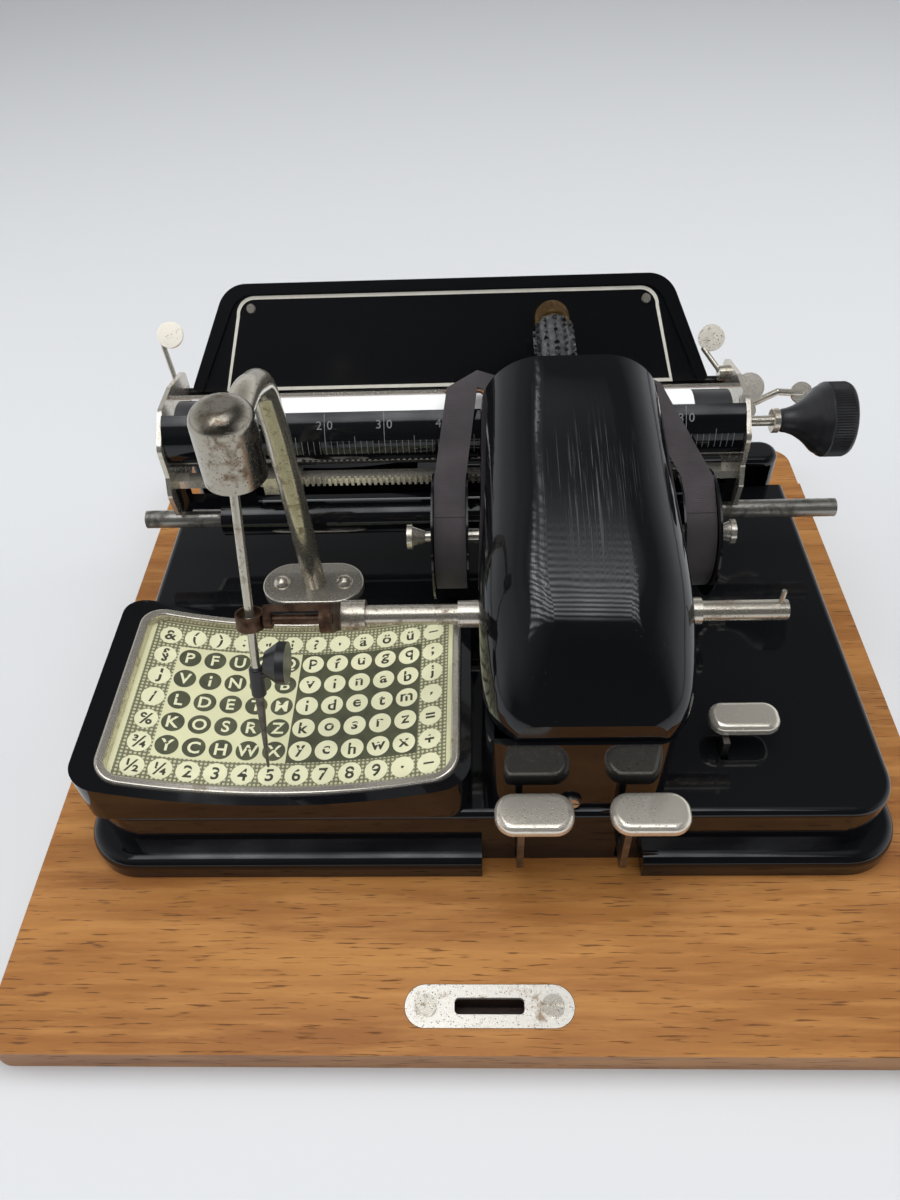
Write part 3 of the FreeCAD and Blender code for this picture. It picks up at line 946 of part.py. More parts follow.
def make_paper_table():
    low, high, tall = d.table_low_half, d.table_top_half, d.table_tall
    points = [(-low, 0, d.table_corner), (low, 0, d.table_corner), (high, tall, d.table_round),
              (-high, tall, d.table_round)]
    lip = d.table_lip_wide
    inner = [(-low + lip, -d.over, 0), (low - lip, -d.over, 0), (high - lip, tall - lip, d.table_round - lip / 2),
             (-high + lip, tall - lip, d.table_round - lip / 2)]
    sheet_face = Part.Face(Part.Wire([c.toShape() for c in outline(points)]))
    hollow = Part.Face(Part.Wire([c.toShape() for c in outline(inner)]))
    plate = sheet_face.extrude(Vector(0, 0, d.table_lip))
    back = [(-low + d.table_thick, -d.over, 0), (low - d.table_thick, -d.over, 0),
            (high - d.table_thick, tall - d.table_thick, d.table_round - d.table_thick),
            (-high + d.table_thick, tall - d.table_thick, d.table_round - d.table_thick)]
    back_face = Part.Face(Part.Wire([c.toShape() for c in outline(back)]))
    plate = plate.cut(back_face.extrude(Vector(0, 0, d.table_lip - d.table_thick)))
    raised = sheet_face.cut(hollow).extrude(Vector(0, 0, d.table_lip_rise))
    raised.translate(Vector(0, 0, d.table_lip))
    table = plate.fuse(raised).removeSplitter()
    table.translate(Vector(0, 0, -d.table_lip))
    table.Placement = Placement(Vector(d.table_x, d.table_y, top + d.table_up),
                                Rotation(Vector(1, 0, 0), 90 - d.table_lean))
    start = Vector(d.plate_left + d.plate_thick, d.table_rod_y, top + d.table_up)
    rod = Part.makeCylinder(d.table_rod_round, d.plate_right - start.x, start, Vector(1, 0, 0))
    node(shaped(table.fuse(rod).removeSplitter()), "paper_table")


def make_platen():
    y, z = d.platen_y, top + d.platen_up
    roller = bar("platen_round", "platen_right - platen_left",
                 ("platen_left", "platen_y", TOP + " + platen_up"), "x")
    hole = bar("axle_round", "platen_right - platen_left + 2*over",
               ("platen_left - over", "platen_y", TOP + " + platen_up"), "x")
    node(cut(roller, hole), "platen")
    axle = bar("axle_round", "knob_near + knob_rim - axle_left",
               ("axle_left", "platen_y", TOP + " + platen_up"), "x")
    node(axle, "platen_axle")
    near, far, r = d.knob_near, d.knob_far, d.knob_round
    rim = far - d.knob_rim
    flare = Part.BSplineCurve()
    flare.interpolate([Vector(near, 0, d.knob_neck),
                       Vector(near + (rim - near) * d.knob_waist_share, 0, d.knob_waist_round),
                       Vector(near + (rim - near) * d.knob_swell_share, 0, d.knob_swell_round),
                       Vector(rim - d.over, 0, r - d.over)])
    tail = [Vector(rim - d.over, 0, r - d.over), Vector(rim, 0, r), Vector(far - d.knob_edge, 0, r),
            Vector(far, 0, r - d.knob_edge), Vector(far, 0, 0), Vector(near, 0, 0), Vector(near, 0, d.knob_neck)]
    wire = Part.Wire([flare.toShape()] + [Part.LineSegment(a, b).toShape() for a, b in zip(tail, tail[1:])])
    knob = Part.Face(wire).revolve(Vector(), Vector(1, 0, 0), 360)
    knob = knob.cut(Part.makeCylinder(d.axle_round, d.knob_rim, Vector(near, 0, 0), Vector(1, 0, 0)))
    knob.translate(Vector(0, y, z))
    node(shaped(knob), "platen_knob")
    feed_z = feed_height()
    rollers = [Part.makeCylinder(d.feed_round, d.platen_round * 2, Vector(x, d.feed_y, feed_z), Vector(1, 0, 0))
               for x in (d.platen_left + 2 * d.platen_round, d.table_x - d.platen_round,
                         d.platen_right - 4 * d.platen_round)]
    axle = Part.makeCylinder(d.feed_axle, d.plate_right + d.plate_thick - d.plate_left,
                             Vector(d.plate_left, d.feed_y, feed_z), Vector(1, 0, 0))
    node(shaped(axle.fuse(rollers).removeSplitter()), "feed_roller")


def tilted_disc(radius, thick, centre, normal):
    return Part.makeCylinder(radius, thick, centre, normal)


def make_levers():
    """Small bright levers on the side plates; each turns on its own stud."""
    facing = Vector(0, -1, 1)
    for sign, face, pad_x, pad_y, pad_up, label in (
            (-1, d.plate_left - d.running, d.left_pad_x, d.arm_pad_y, d.left_pad_up, "left_paper_arm"),
            (-1, d.plate_right - d.running, d.right_pad_x, d.arm_pad_y, d.right_pad_up, "right_paper_arm")):
        pivot = Vector(face, d.arm_pivot_y, top + d.arm_pivot_up)
        hub = Part.makeCylinder(d.arm_hub, d.arm_wide, pivot, Vector(sign, 0, 0))
        pad_at = Vector(pad_x, pad_y, top + pad_up)
        foot = pivot + Vector(sign * d.arm_wide / 2, 0, 0)
        neck = pad_at + Vector(sign * d.arm_hub, -d.arm_hub, -d.arm_hub)
        arm = round_bar(d.arm_thick, foot, neck).fuse([Part.makeSphere(d.arm_thick, neck),
                                                       round_bar(d.arm_thick, neck, pad_at)])
        pad = tilted_disc(d.arm_pad, d.arm_thick, pad_at, facing)
        node(shaped(hub.fuse([arm, pad]).removeSplitter()), label)

    stud = d.plate_right + d.plate_thick + d.running
    axis_z = top + d.platen_up
    pivot = Vector(stud, d.release_y, axis_z - d.release_drop)
    release = Part.makeCylinder(d.arm_hub, d.arm_wide, pivot, Vector(1, 0, 0))
    for x, y, rise, radius in ((d.big_pad_x, d.big_pad_y, d.big_pad_rise, d.big_pad),
                               (d.small_pad_x, d.small_pad_y, -d.small_pad_drop, d.small_pad)):
        pad_at = Vector(x, y, axis_z + rise)
        release = release.fuse([round_bar(d.arm_thick, pivot + Vector(d.arm_thick, 0, 0), pad_at),
                                tilted_disc(radius, d.arm_thick, pad_at, facing)])
    node(shaped(release.removeSplitter()), "release_lever")

    pivot = Vector(stud, d.line_y, axis_z - d.line_drop)
    elbow = Vector(d.line_elbow_x, d.line_elbow_y, axis_z - d.line_elbow_drop)
    end = Vector(d.line_end_x, d.line_end_y, axis_z - d.line_end_drop)
    line = Part.makeCylinder(d.line_hub, d.arm_wide, pivot, Vector(1, 0, 0))
    line = line.fuse([round_bar(d.line_round, pivot + Vector(d.arm_wide / 2, 0, 0), elbow),
                      Part.makeSphere(d.line_round, elbow), round_bar(d.line_round, elbow, end),
                      Part.makeSphere(d.line_round, end),
                      tilted_disc(d.line_spoon, d.arm_thick, end, facing)])
    node(shaped(line.removeSplitter()), "line_lever")

    left, bar_z = d.stop_x - d.stop_wide / 2, top + d.bar_low_up
    stop = Part.makeBox(d.stop_wide, d.stop_deep, d.stop_tall,
                        Vector(left, d.bar_y - d.stop_lead, bar_z + (d.bar_tall - d.stop_tall) / 2))
    passage = Part.makeBox(d.stop_wide, d.bar_deep + 2 * d.running, d.bar_tall + 2 * d.running,
                           Vector(left, d.bar_y - d.running, bar_z - d.running))
    window = Part.makeBox(d.stop_window, d.stop_deep / 3, d.stop_tall,
                          Vector(d.stop_x - d.stop_window_off, d.bar_y - d.stop_lead - d.over, bar_z))
    node(shaped(stop.cut([passage, window])), "margin_stop")


# Three keys: print, space and back. Each lever turns on the axle in the base.
def key_cap(x, y, low, wide, deep, label):
    cap = Part.Face(Part.Wire([c.toShape() for c in outline(
        slab(x - wide / 2, x + wide / 2, y - deep / 2, y + deep / 2, deep / 2 - d.over))]))
    cap.translate(Vector(0, 0, top + low))
    cap = cap.extrude(Vector(0, 0, d.cap_thick))
    flat = [e for e in cap.Edges if abs(e.BoundBox.ZMin - e.BoundBox.ZMax) < d.running]
    node(shaped(cap.makeFillet(d.cap_edge, flat)), label)


def make_keys():
    for x, stem, stem_y, deep, low_up, name in (
            (d.print_x, d.print_stem, d.stem_y, d.stem_deep, d.cap_low_up, "print"),
            (d.space_x, d.space_stem, d.stem_y, d.stem_deep, d.cap_low_up, "space"),
            (d.back_x, d.back_stem, d.back_stem_y - d.stem_deep / 2, d.stem_deep, d.back_low_up, "back")):
        low = top + d.lever_low_up
        tail, high, bend = d.key_axle_y + d.lever_tail, low + d.lever_tall, d.lever_round
        points = [(stem_y, low, bend), (tail, low, bend), (tail, high, bend), (stem_y + deep, high, bend),
                  (stem_y + deep, top + low_up, 0), (stem_y, top + low_up, 0)]
        lever = padded("YZ_Plane", points, "stem_thick", ("%s_stem - stem_thick/2" % name, "0", "0"))
        boss = bar("boss_round - over", "stem_thick", ("%s_stem - stem_thick/2" % name, "key_axle_y",
                                                       TOP + " + key_axle_up"), "x")
        hole = bar("key_axle_round + running", "stem_thick + 2*over",
                   ("%s_stem - stem_thick/2 - over" % name, "key_axle_y", TOP + " + key_axle_up"), "x")
        node(cut(fuse(lever, boss), hole), name + "_lever")
    for x, name in ((d.print_x, "print"), (d.space_x, "space")):
        key_cap(x, d.cap_y, d.cap_low_up, d.cap_wide, d.cap_deep, name + "_key")
    key_cap(d.back_x, d.back_y, d.back_low_up, d.back_cap_wide, d.back_cap_deep, "back_key")


# Ribbon: two flanged spools on spindles through the tower's lugs, wire guides, and the web.
def make_ribbon():
    y, z = d.spool_y, top + d.spool_up
    spindles = []
    for sign, outer, lug in ((-1, d.spool_left_x, d.lug_left + d.lug_thick),
                             (1, d.spool_right_x + d.spool_wide, d.lug_right)):
        start, end = Vector(lug, y, z), Vector(outer + sign * d.slack, y, z)
        pin = round_bar(d.spindle_pin, start, end)
        far = Vector(sign * d.nut_long, 0, 0)
        neck = round_bar(d.nut_neck, end, end + far * d.nut_neck_share)
        flare = Part.makeCone(d.nut_root, d.nut_flare, d.nut_long * d.nut_flare_share,
                              end + far * d.nut_neck_share, Vector(sign, 0, 0))
        rim = round_bar(d.nut_round, end + far * d.nut_rim_share, end + far)
        spindles.append(pin.fuse([neck, flare, rim]).removeSplitter())
    node(shaped(Part.makeCompound(spindles)), "spool_spindles")
    for left, name in ((d.spool_left_x, "left_spool"), (d.spool_right_x, "right_spool")):
        flange = d.spool_flange
        wheel = [Part.makeCylinder(d.spool_round, flange, Vector(x, y, z), Vector(1, 0, 0))
                 for x in (left, left + d.spool_wide - flange)]
        roll = Part.makeCylinder(d.roll_round, d.ribbon_wide,
                                 Vector(left + (d.spool_wide - d.ribbon_wide) / 2, y, z), Vector(1, 0, 0))
        core = Part.makeCylinder(d.core_round, d.spool_wide, Vector(left, y, z), Vector(1, 0, 0))
        bore = Part.makeCylinder(d.spindle_pin + d.running, d.spool_wide + 2 * d.over,
                                 Vector(left - d.over, y, z), Vector(1, 0, 0))
        spool = roll.fuse(wheel + [core]).cut(bore)
        node(shaped(spool.removeSplitter()), name)

    guides = []
    gy, gz = d.guide_y - d.guide_wire - d.hub_gap, top + d.guide_up
    for sign, outer_x, lug in ((1, d.guide_left_x, d.lug_left + d.lug_thick / 2),
                               (-1, d.guide_right_x, d.lug_right + d.lug_thick / 2)):
        inner_x = outer_x + sign * (d.ribbon_wide + 4 * d.over)
        foot = top + d.spool_up + d.lug_round
        route = [(outer_x, gy, gz), (inner_x, gy, gz), (lug, d.spool_y + d.guide_bend_y, gz - d.guide_bend_drop),
                 (lug, d.spool_y + d.guide_foot_y, foot)]
        guides.append(tube(route, [d.guide_bend, d.guide_turn], d.guide_wire))
    node(shaped(Part.makeCompound(guides)), "ribbon_guides")
    node(shaped(ribbon_web()), "ribbon")


def ribbon_web():
    """Up from each roll to its guide, folded across, and down in a shallow V under the type."""
    gy, gz = d.guide_y, top + d.guide_up + d.ribbon_rise
    y, z = d.spool_y, top + d.spool_up
    thick, wide = d.ribbon_thick, d.ribbon_wide
    reach = math.hypot(gy - y, gz - z)
    wound = d.roll_round + d.slack
    around = math.atan2(gz - z, gy - y) + math.acos(wound / reach)
    touch = Vector(0, y + wound * math.cos(around), z + wound * math.sin(around))
    strips = []
    for sign, roll_x, guide_x in ((1, d.spool_left_x + (d.spool_wide - wide) / 2, d.guide_left_x + d.over),
                                  (-1, d.spool_right_x + (d.spool_wide + wide) / 2, d.guide_right_x - d.over)):
        low = [Vector(roll_x, touch.y, touch.z), Vector(roll_x + sign * wide, touch.y, touch.z)]
        high = [Vector(guide_x, gy, gz), Vector(guide_x + sign * wide, gy, gz)]
        up = (high[0] - low[0]).cross(Vector(sign, 0, 0)).normalize() * (thick * -sign)
        if up.z < 0:
            up = up * -1
        straight = Vector(0, high[0].y - low[0].y, high[0].z - low[0].z).normalize() * d.ribbon_straight
        past = [corner + straight for corner in low]
        strips.append(Part.makeLoft([quad(low, up), quad(past, up)], True, True))
        strips.append(Part.makeLoft([quad(past, up), quad(high, up)], True, True))
        fold = [Vector(guide_x, gy, gz), Vector(guide_x + sign * wide, gy, gz),
                Vector(guide_x + sign * wide, gy + wide, gz)]
        strips.append(Part.Face(Part.makePolygon(fold + fold[:1])).extrude(Vector(0, 0, thick)))
        flat = d.type_x - sign * d.ribbon_flat
        dip = top + d.ribbon_dip_up
        stations = [(guide_x + sign * wide, gz), (flat, dip), (d.type_x, dip)]
        pairs = [[Vector(x, gy, height), Vector(x, gy + wide, height)] for x, height in stations]
        for near, far in zip(pairs, pairs[1:]):
            strips.append(Part.makeLoft([quad(near, Vector(0, 0, thick)), quad(far, Vector(0, 0, thick))], True, True))
    return strips[0].fuse(strips[1:]).removeSplitter()


def quad(pair, up):
    a, b = pair
    return Part.makePolygon([a, b, b + up, a + up, a])


for step in (make_board, make_screws, make_base, make_card, make_tower, make_gooseneck, make_pointer, make_selector,
             make_type_arm, make_type_cylinder, make_shift, make_hood, make_carriage, make_paper_table, make_platen,
             make_levers, make_keys, make_ribbon):
    step()
    doc.recompute()

doc.recompute()
faults = [o.Label for o in doc.Objects if "Invalid" in o.State or "Error" in o.State]
faults += [o.Label for o in NODES if o.Shape.isNull() or not o.Shape.isValid() or not o.Shape.Solids]
if faults:
    raise RuntimeError("not sound: " + ", ".join(faults))

os.makedirs("parts", exist_ok=True)
for piece in NODES:
    piece.Shape.exportStep("parts/%s.step" % piece.Label)
    extent = piece.Shape.BoundBox
    print("%-18s solids %2d  volume %9.1f  x %7.1f %7.1f  y %7.1f %7.1f  z %6.1f %6.1f" % (
        piece.Label, len(piece.Shape.Solids), piece.Shape.Volume, extent.XMin, extent.XMax, extent.YMin, extent.YMax,
        extent.ZMin, extent.ZMax))
print(len(NODES), "nodes")
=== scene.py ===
# %% [markdown]
# # An index typewriter, dressed for a portrait
# The mechanism comes from a CAD frame: every moving group already stands in its place, in metres,
# with X to the typist's right, Y away and Z up. This notebook adds what the frame lacks: printed
# chart, scale marks, cloth ribbon, knurling, and finishes such as lacquer, worn nickel and oak.

import math

import bmesh
import bpy
from mathutils import Matrix, Vector


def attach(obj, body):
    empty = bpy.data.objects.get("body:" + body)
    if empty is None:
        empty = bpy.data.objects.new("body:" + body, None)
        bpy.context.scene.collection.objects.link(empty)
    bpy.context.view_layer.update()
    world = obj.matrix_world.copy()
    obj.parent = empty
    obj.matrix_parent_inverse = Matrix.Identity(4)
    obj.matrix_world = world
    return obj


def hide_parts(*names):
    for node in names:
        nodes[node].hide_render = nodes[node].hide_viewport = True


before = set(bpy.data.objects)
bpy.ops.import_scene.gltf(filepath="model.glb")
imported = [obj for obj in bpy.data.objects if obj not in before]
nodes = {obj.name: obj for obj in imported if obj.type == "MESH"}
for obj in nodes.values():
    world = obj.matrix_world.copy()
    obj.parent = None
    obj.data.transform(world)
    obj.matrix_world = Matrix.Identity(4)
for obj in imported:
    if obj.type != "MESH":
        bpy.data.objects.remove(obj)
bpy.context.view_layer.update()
MM = 0.001
BOARD_TOP = 13.3


def at(x, y, z):
    """A point in millimetres, its height counted from the board's top, as metres."""
    return Vector((x * MM, y * MM, (z + BOARD_TOP) * MM))


# %% [markdown]
# ## The camera
# A photograph's perspective is matched by giving the camera the same place, tilt and lens. The
# long side of the picture sees what a 27 mm lens sees on a 36 mm sensor, from just above the front
# edge of the board, looking down at 46 degrees with a small turn and roll.

# %% Camera
PITCH, YAW, ROLL = (math.radians(a) for a in (46.4696, 3.0939, -3.0784))
CAMERA_X, CAMERA_Y, CAMERA_UP = 0, -267.4, 333
LENS, SENSOR = 27.03, 36
forward = Vector((-math.sin(YAW) * math.cos(PITCH), math.cos(YAW) * math.cos(PITCH), -math.sin(PITCH)))
across = Vector((math.cos(YAW), math.sin(YAW), 0))
upward = Vector((-math.sin(YAW) * math.sin(PITCH), math.cos(YAW) * math.sin(PITCH), math.cos(PITCH)))
side = across * math.cos(ROLL) + upward * math.sin(ROLL)
rise = upward * math.cos(ROLL) - across * math.sin(ROLL)
turn = Matrix((side, rise, -forward)).transposed().to_4x4()
camera = bpy.data.objects.new("portrait_camera", bpy.data.cameras.new("portrait_camera"))
bpy.context.scene.collection.objects.link(camera)
camera.data.lens = LENS
camera.data.sensor_width = SENSOR
camera.data.clip_start = 0.01
camera.matrix_world = Matrix.Translation(at(CAMERA_X, CAMERA_Y, CAMERA_UP)) @ turn
bpy.context.scene.camera = camera

# %% [markdown]
# ## Floor
# The object stands on one plain pale floor.

# %% Floor
FLOOR_HALF = 4.0
floor_mesh = bmesh.new()
bmesh.ops.create_grid(floor_mesh, x_segments=1, y_segments=1, size=FLOOR_HALF)
floor_data = bpy.data.meshes.new("floor")
floor_mesh.to_mesh(floor_data)
floor_mesh.free()
floor = bpy.data.objects.new("floor", floor_data)
bpy.context.scene.collection.objects.link(floor)
floor_paint = bpy.data.materials.new("pale_floor")
floor_paint.use_nodes = True
floor_shader = floor_paint.node_tree.nodes["Principled BSDF"]
floor_shader.inputs["Base Color"].default_value = (0.58, 0.59, 0.60, 1)
floor_shader.inputs["Roughness"].default_value = 0.6
floor_data.materials.append(floor_paint)

# %% [markdown]
# ## Writing finishes as sums
# A finish is a small recipe of noise and sums. Wrapping a node's socket in a class that knows plus,
# minus and times keeps such a recipe readable: `1 - mask` makes the Math node by itself.

# %% Recipe helpers
MIX_FACTOR, MIX_A, MIX_B, MIX_RESULT = 0, 6, 7, 2


class Wire:
    """A socket that takes part in sums."""

    def __init__(self, recipe, socket):
        self.recipe, self.socket = recipe, socket

    def sum_with(self, operation, first, second):
        return self.recipe.node("ShaderNodeMath", {"operation": operation}, {0: first, 1: second})

    def __add__(self, other):
        return self.sum_with("ADD", self, other)

    def __sub__(self, other):
        return self.sum_with("SUBTRACT", self, other)

    def __rsub__(self, other):
        return self.sum_with("SUBTRACT", other, self)

    def __mul__(self, other):
        return self.sum_with("MULTIPLY", self, other)

    __radd__, __rmul__ = __add__, __mul__

    def wave(self):
        """Half a unit up and down about one half, once every full turn."""
        return self.sum_with("SINE", self, 0) * 0.5 + 0.5

    def clip(self, low, high):
        """0 below low, 1 above high, a straight climb between."""
        return self.recipe.node("ShaderNodeMapRange", {"clamp": True}, {0: self, 1: low, 2: high})


class Mixer:
    """Makes nodes in one tree; place is the point that its patterns are drawn on."""

    def __init__(self, tree, place):
        self.tree = tree
        self.place = self.node("ShaderNodeTexCoord", output=place)

    def feed(self, socket, value):
        if isinstance(value, Wire):
            self.tree.links.new(value.socket, socket)
        elif hasattr(socket.default_value, "__len__") and len(socket.default_value) == 4:
            socket.default_value = (*value, 1)
        else:
            socket.default_value = value

    def node(self, kind, settings=None, inputs=None, output=0):
        made = self.tree.nodes.new(kind)
        for key, value in (settings or {}).items():
            setattr(made, key, value)
        for key, value in (inputs or {}).items():
            self.feed(made.inputs[key], value)
        return Wire(self, made.outputs[output])

    def stretch(self, scale, angle=0.0, move=(0, 0, 0)):
        return self.node("ShaderNodeMapping", None, {"Vector": self.place, "Location": move,
                                                     "Rotation": (0, 0, angle), "Scale": scale})

    def noise(self, scale, detail=4.0, where=None, rough=0.55):
        return self.node("ShaderNodeTexNoise", None, {"Vector": where or self.place, "Scale": scale,
                                                      "Detail": detail, "Roughness": rough})

    def specks(self, scale, where=None):
        """Distance to the nearest of many scattered points."""
        return self.node("ShaderNodeTexVoronoi", None, {"Vector": where or self.place, "Scale": scale})

    def mix(self, mask, below, above):
        return self.node("ShaderNodeMix", {"data_type": "RGBA"},
                         {MIX_FACTOR: mask, MIX_A: below, MIX_B: above}, MIX_RESULT)

    def axis(self, name):
        return self.node("ShaderNodeSeparateXYZ", None, {0: self.place}, name)


class Recipe(Mixer):
    """One material, mixed on Object coordinates."""

    def __init__(self, name, colour=(0.5, 0.5, 0.5), **fixed):
        self.material = bpy.data.materials.new(name)
        self.material.use_nodes = True
        super().__init__(self.material.node_tree, "Object")
        self.shader = self.tree.nodes["Principled BSDF"]
        self.shader.inputs["Base Color"].default_value = (*colour, 1)
        for socket, value in fixed.items():
            self.shader.inputs[socket.replace("_", " ")].default_value = value

    def put(self, **sockets):
        for socket, value in sockets.items():
            self.feed(self.shader.inputs[socket.replace("_", " ")], value)
        return self

    def bump(self, height, strength, distance):
        self.feed(self.shader.inputs["Normal"], self.node(
            "ShaderNodeBump", None, {"Height": height, "Strength": strength, "Distance": distance}))
        return self


# %% [markdown]
# ## Light
# The object stands in a pale photo tent that is open at the front. Polished black shows nothing but
# what it mirrors, so mirrored rays get their own sky: bright walls low down on three sides, a dark
# opening in front, a dark slope above the walls with a glow at its top, and a fan of small lights
# over the typist, in rows and two bright columns, that draws the stripes on the hood.

# %% Lamps
LAMPS = (("overhead_panel", (0.0, 0.15, 1.5), 1.1, 16.0), ("left_panel", (-1.25, -0.1, 0.75), 0.8, 7.0),
         ("right_panel", (1.2, 0.25, 0.8), 0.8, 6.0), ("front_panel", (0.3, -1.3, 1.1), 0.9, 6.0))
for name, spot, size, watts in LAMPS:
    lamp = bpy.data.lights.new(name, "AREA")
    lamp.size = size
    lamp.energy = watts
    holder = bpy.data.objects.new(name, lamp)
    bpy.context.scene.collection.objects.link(holder)
    holder.location = spot
    holder.rotation_euler = (Vector((0, 0, 0.05)) - Vector(spot)).to_track_quat("-Z", "Y").to_euler()
    holder.visible_glossy = False

# %% Sky of the tent
world = bpy.data.worlds.new("tent")
bpy.context.scene.world = world
world.use_nodes = True
sky = Mixer(world.node_tree, "Generated")
sky_x, sky_y, sky_z = (sky.axis(name) for name in "XYZ")
sky_left = -1 * sky_x
GLOSS_FULL = 8
walls = (1 - sky_z.clip(0.15, 0.7) * 0.9) * (1 - (-1 * sky_y).clip(0.2, 0.7) * 0.95)
haze = sky_left.clip(-0.1, 0.6) * sky_z.clip(0.3, 0.6) * (1 - sky_z.clip(0.8, 0.95))
fan = (sky_x + 0.06) * (sky_x + 0.06) + sky_y * 0.16
panel = (1 - fan.clip(0.07, 0.1)) * sky_y.clip(-0.53, -0.45) * sky_z.clip(0.5, 0.7)
rows = (sky_y * 130.0 + sky_x * 34.0).wave().clip(0.15, 0.95) * ((sky_x * 120.0).wave() * 0.4 + 0.6)
near_left = (sky_x + 0.27) * (sky_x + 0.27)
near_middle = (sky_x + 0.08) * (sky_x + 0.08)
columns = (1 - near_left.clip(0.0, 0.006)) + (1 - near_middle.clip(0.0, 0.004)) * 0.7
stripes = rows * (columns * 4.5 * sky_y.clip(-0.5, -0.2) + (1 - sky_y.clip(-0.3, 0.3)) * 4.2)
seen_in_gloss = walls * 0.75 + haze * 0.2 + panel * (stripes + 0.15) + 0.01
seen_in_gloss = seen_in_gloss + sky_z.clip(0.88, 0.96) * 0.35
rays = sky.node("ShaderNodeLightPath")
is_camera = Wire(sky, rays.socket.node.outputs["Is Camera Ray"])
is_glossy = Wire(sky, rays.socket.node.outputs["Is Glossy Ray"])
gloss_tint = sky.mix(seen_in_gloss.clip(0, GLOSS_FULL), (0, 0, 0), (7.8, 7.9, 8.1))
paint = sky.mix(is_camera, (0.40, 0.41, 0.43), (0.60, 0.615, 0.64))
sky.feed(world.node_tree.nodes["Background"].inputs["Color"], sky.mix(is_glossy, paint, gloss_tint))
bpy.context.scene.view_settings.view_transform = "Standard"

# %% [markdown]
# ## Finishes
# Old nickel is bright where hands touched it and speckled brown where the plate has let rust
# through, so its colour and its roughness share one mask. Lacquer is almost black and almost a
# mirror: what makes it real is dust, a faint ripple and hair-thin scratches. Oak is streaks drawn
# out along the plank, with short dark pores.

# %% Nickel in several states of wear
def nickel(name, bright, worn, pits, wear, shine=0.2, metal=1.0):
    """Plated steel. wear shifts how much of the plate has gone, pits how many rust points show.

    shine is the roughness where the plate is whole, and metal is below 1 where fine scratches
    scatter the light."""
    r = Recipe(name, Metallic=metal)
    clouds = r.noise(90, 6) * 0.6 + r.noise(420, 3) * 0.4
    gone = clouds.clip(0.62 - wear, 0.74 - wear)
    points = (1 - r.specks(900).clip(0.06, 0.26)) * r.noise(60, 2).clip(0.52 - pits, 0.62 - pits)
    skin = r.mix(gone, bright, worn)
    r.put(Base_Color=r.mix(points, skin, (0.10, 0.055, 0.03)))
    r.put(Roughness=gone * 0.22 + points * 0.3 + r.noise(1500, 2) * 0.08 + (shine - 0.04))
    r.bump(points * -1.0 + clouds * 0.4, 0.25, 0.0002)
    return r.material


BRIGHT, WORN = (0.70, 0.655, 0.57), (0.42, 0.36, 0.27)
worn_nickel = nickel("worn_nickel", BRIGHT, WORN, 0.10, 0.07, 0.2, 0.85)
dome_nickel = nickel("dome_nickel", (0.42, 0.39, 0.325), (0.20, 0.145, 0.095), 0.2, 0.12, 0.2)
neck_nickel = nickel("neck_nickel", (0.52, 0.485, 0.40), (0.31, 0.255, 0.18), 0.08, 0.08, 0.18, 0.85)
key_nickel = nickel("key_nickel", (0.80, 0.75, 0.65), (0.60, 0.53, 0.44), 0.05, 0.06, 0.16, 0.75)
plate_nickel = nickel("plate_nickel", (0.80, 0.77, 0.70), (0.38, 0.29, 0.20), 0.17, 0.07, 0.24, 0.6)
shaft_nickel = nickel("shaft_nickel", (0.56, 0.52, 0.44), (0.28, 0.22, 0.16), 0.14, 0.12, 0.22, 0.85)
rail_steel = nickel("rail_steel", (0.34, 0.33, 0.30), (0.15, 0.14, 0.12), 0.08, 0.14, 0.3, 0.85)


# %% Steel, brass and wire
def plain_metal(name, light, dark, scale, rough):
    """Steel or brass in two tones; scale is how many blotches fit in a metre."""
    r = Recipe(name, Metallic=1.0)
    blotch = r.noise(scale, 5)
    r.put(Base_Color=r.mix(blotch.clip(0.35, 0.65), light, dark), Roughness=blotch * 0.25 + rough)
    r.bump(r.noise(scale * 6, 3), 0.15, 0.0001)
    return r.material


dark_steel = plain_metal("dark_steel", (0.26, 0.25, 0.24), (0.12, 0.11, 0.10), 160, 0.3)
browned_steel = plain_metal("browned_steel", (0.20, 0.125, 0.085), (0.075, 0.042, 0.028), 220, 0.45)
type_steel = plain_metal("type_steel", (0.33, 0.33, 0.33), (0.15, 0.15, 0.15), 260, 0.35)
tarnished_brass = plain_metal("tarnished_brass", (0.30, 0.185, 0.075), (0.12, 0.07, 0.03), 300, 0.4)
copper_wire = plain_metal("copper_wire", (0.46, 0.25, 0.13), (0.24, 0.13, 0.08), 240, 0.3)


# %% Black lacquer
INK_BLACK, DUST_GREY, SCRATCH_GREY = (0.004, 0.0043, 0.0052), (0.16, 0.16, 0.16), (0.15, 0.155, 0.165)


def lacquer(name, rough=0.05, dust=0.5, scratched=False):
    """Black gloss with dust. rough is its roughness where it is clean."""
    r = Recipe(name, INK_BLACK)
    smudge = r.noise(28, 5).clip(0.45, 0.75)
    motes = (1 - r.specks(520).clip(0.03, 0.085)) * r.noise(35, 2).clip(0.55, 0.7) * dust
    lines = motes
    if scratched:
        lines = hood_scratches(r) + motes
    ink = r.mix(motes * 0.6, INK_BLACK, DUST_GREY)
    r.put(Base_Color=r.mix(lines.clip(0.3, 1.2) * 0.5, ink, SCRATCH_GREY))
    r.put(Roughness=smudge * 0.05 + lines * 0.1 + rough)
    r.bump(r.noise(55, 3) * 0.35 + lines * 0.3, 0.18, 0.00035)
    return r.material


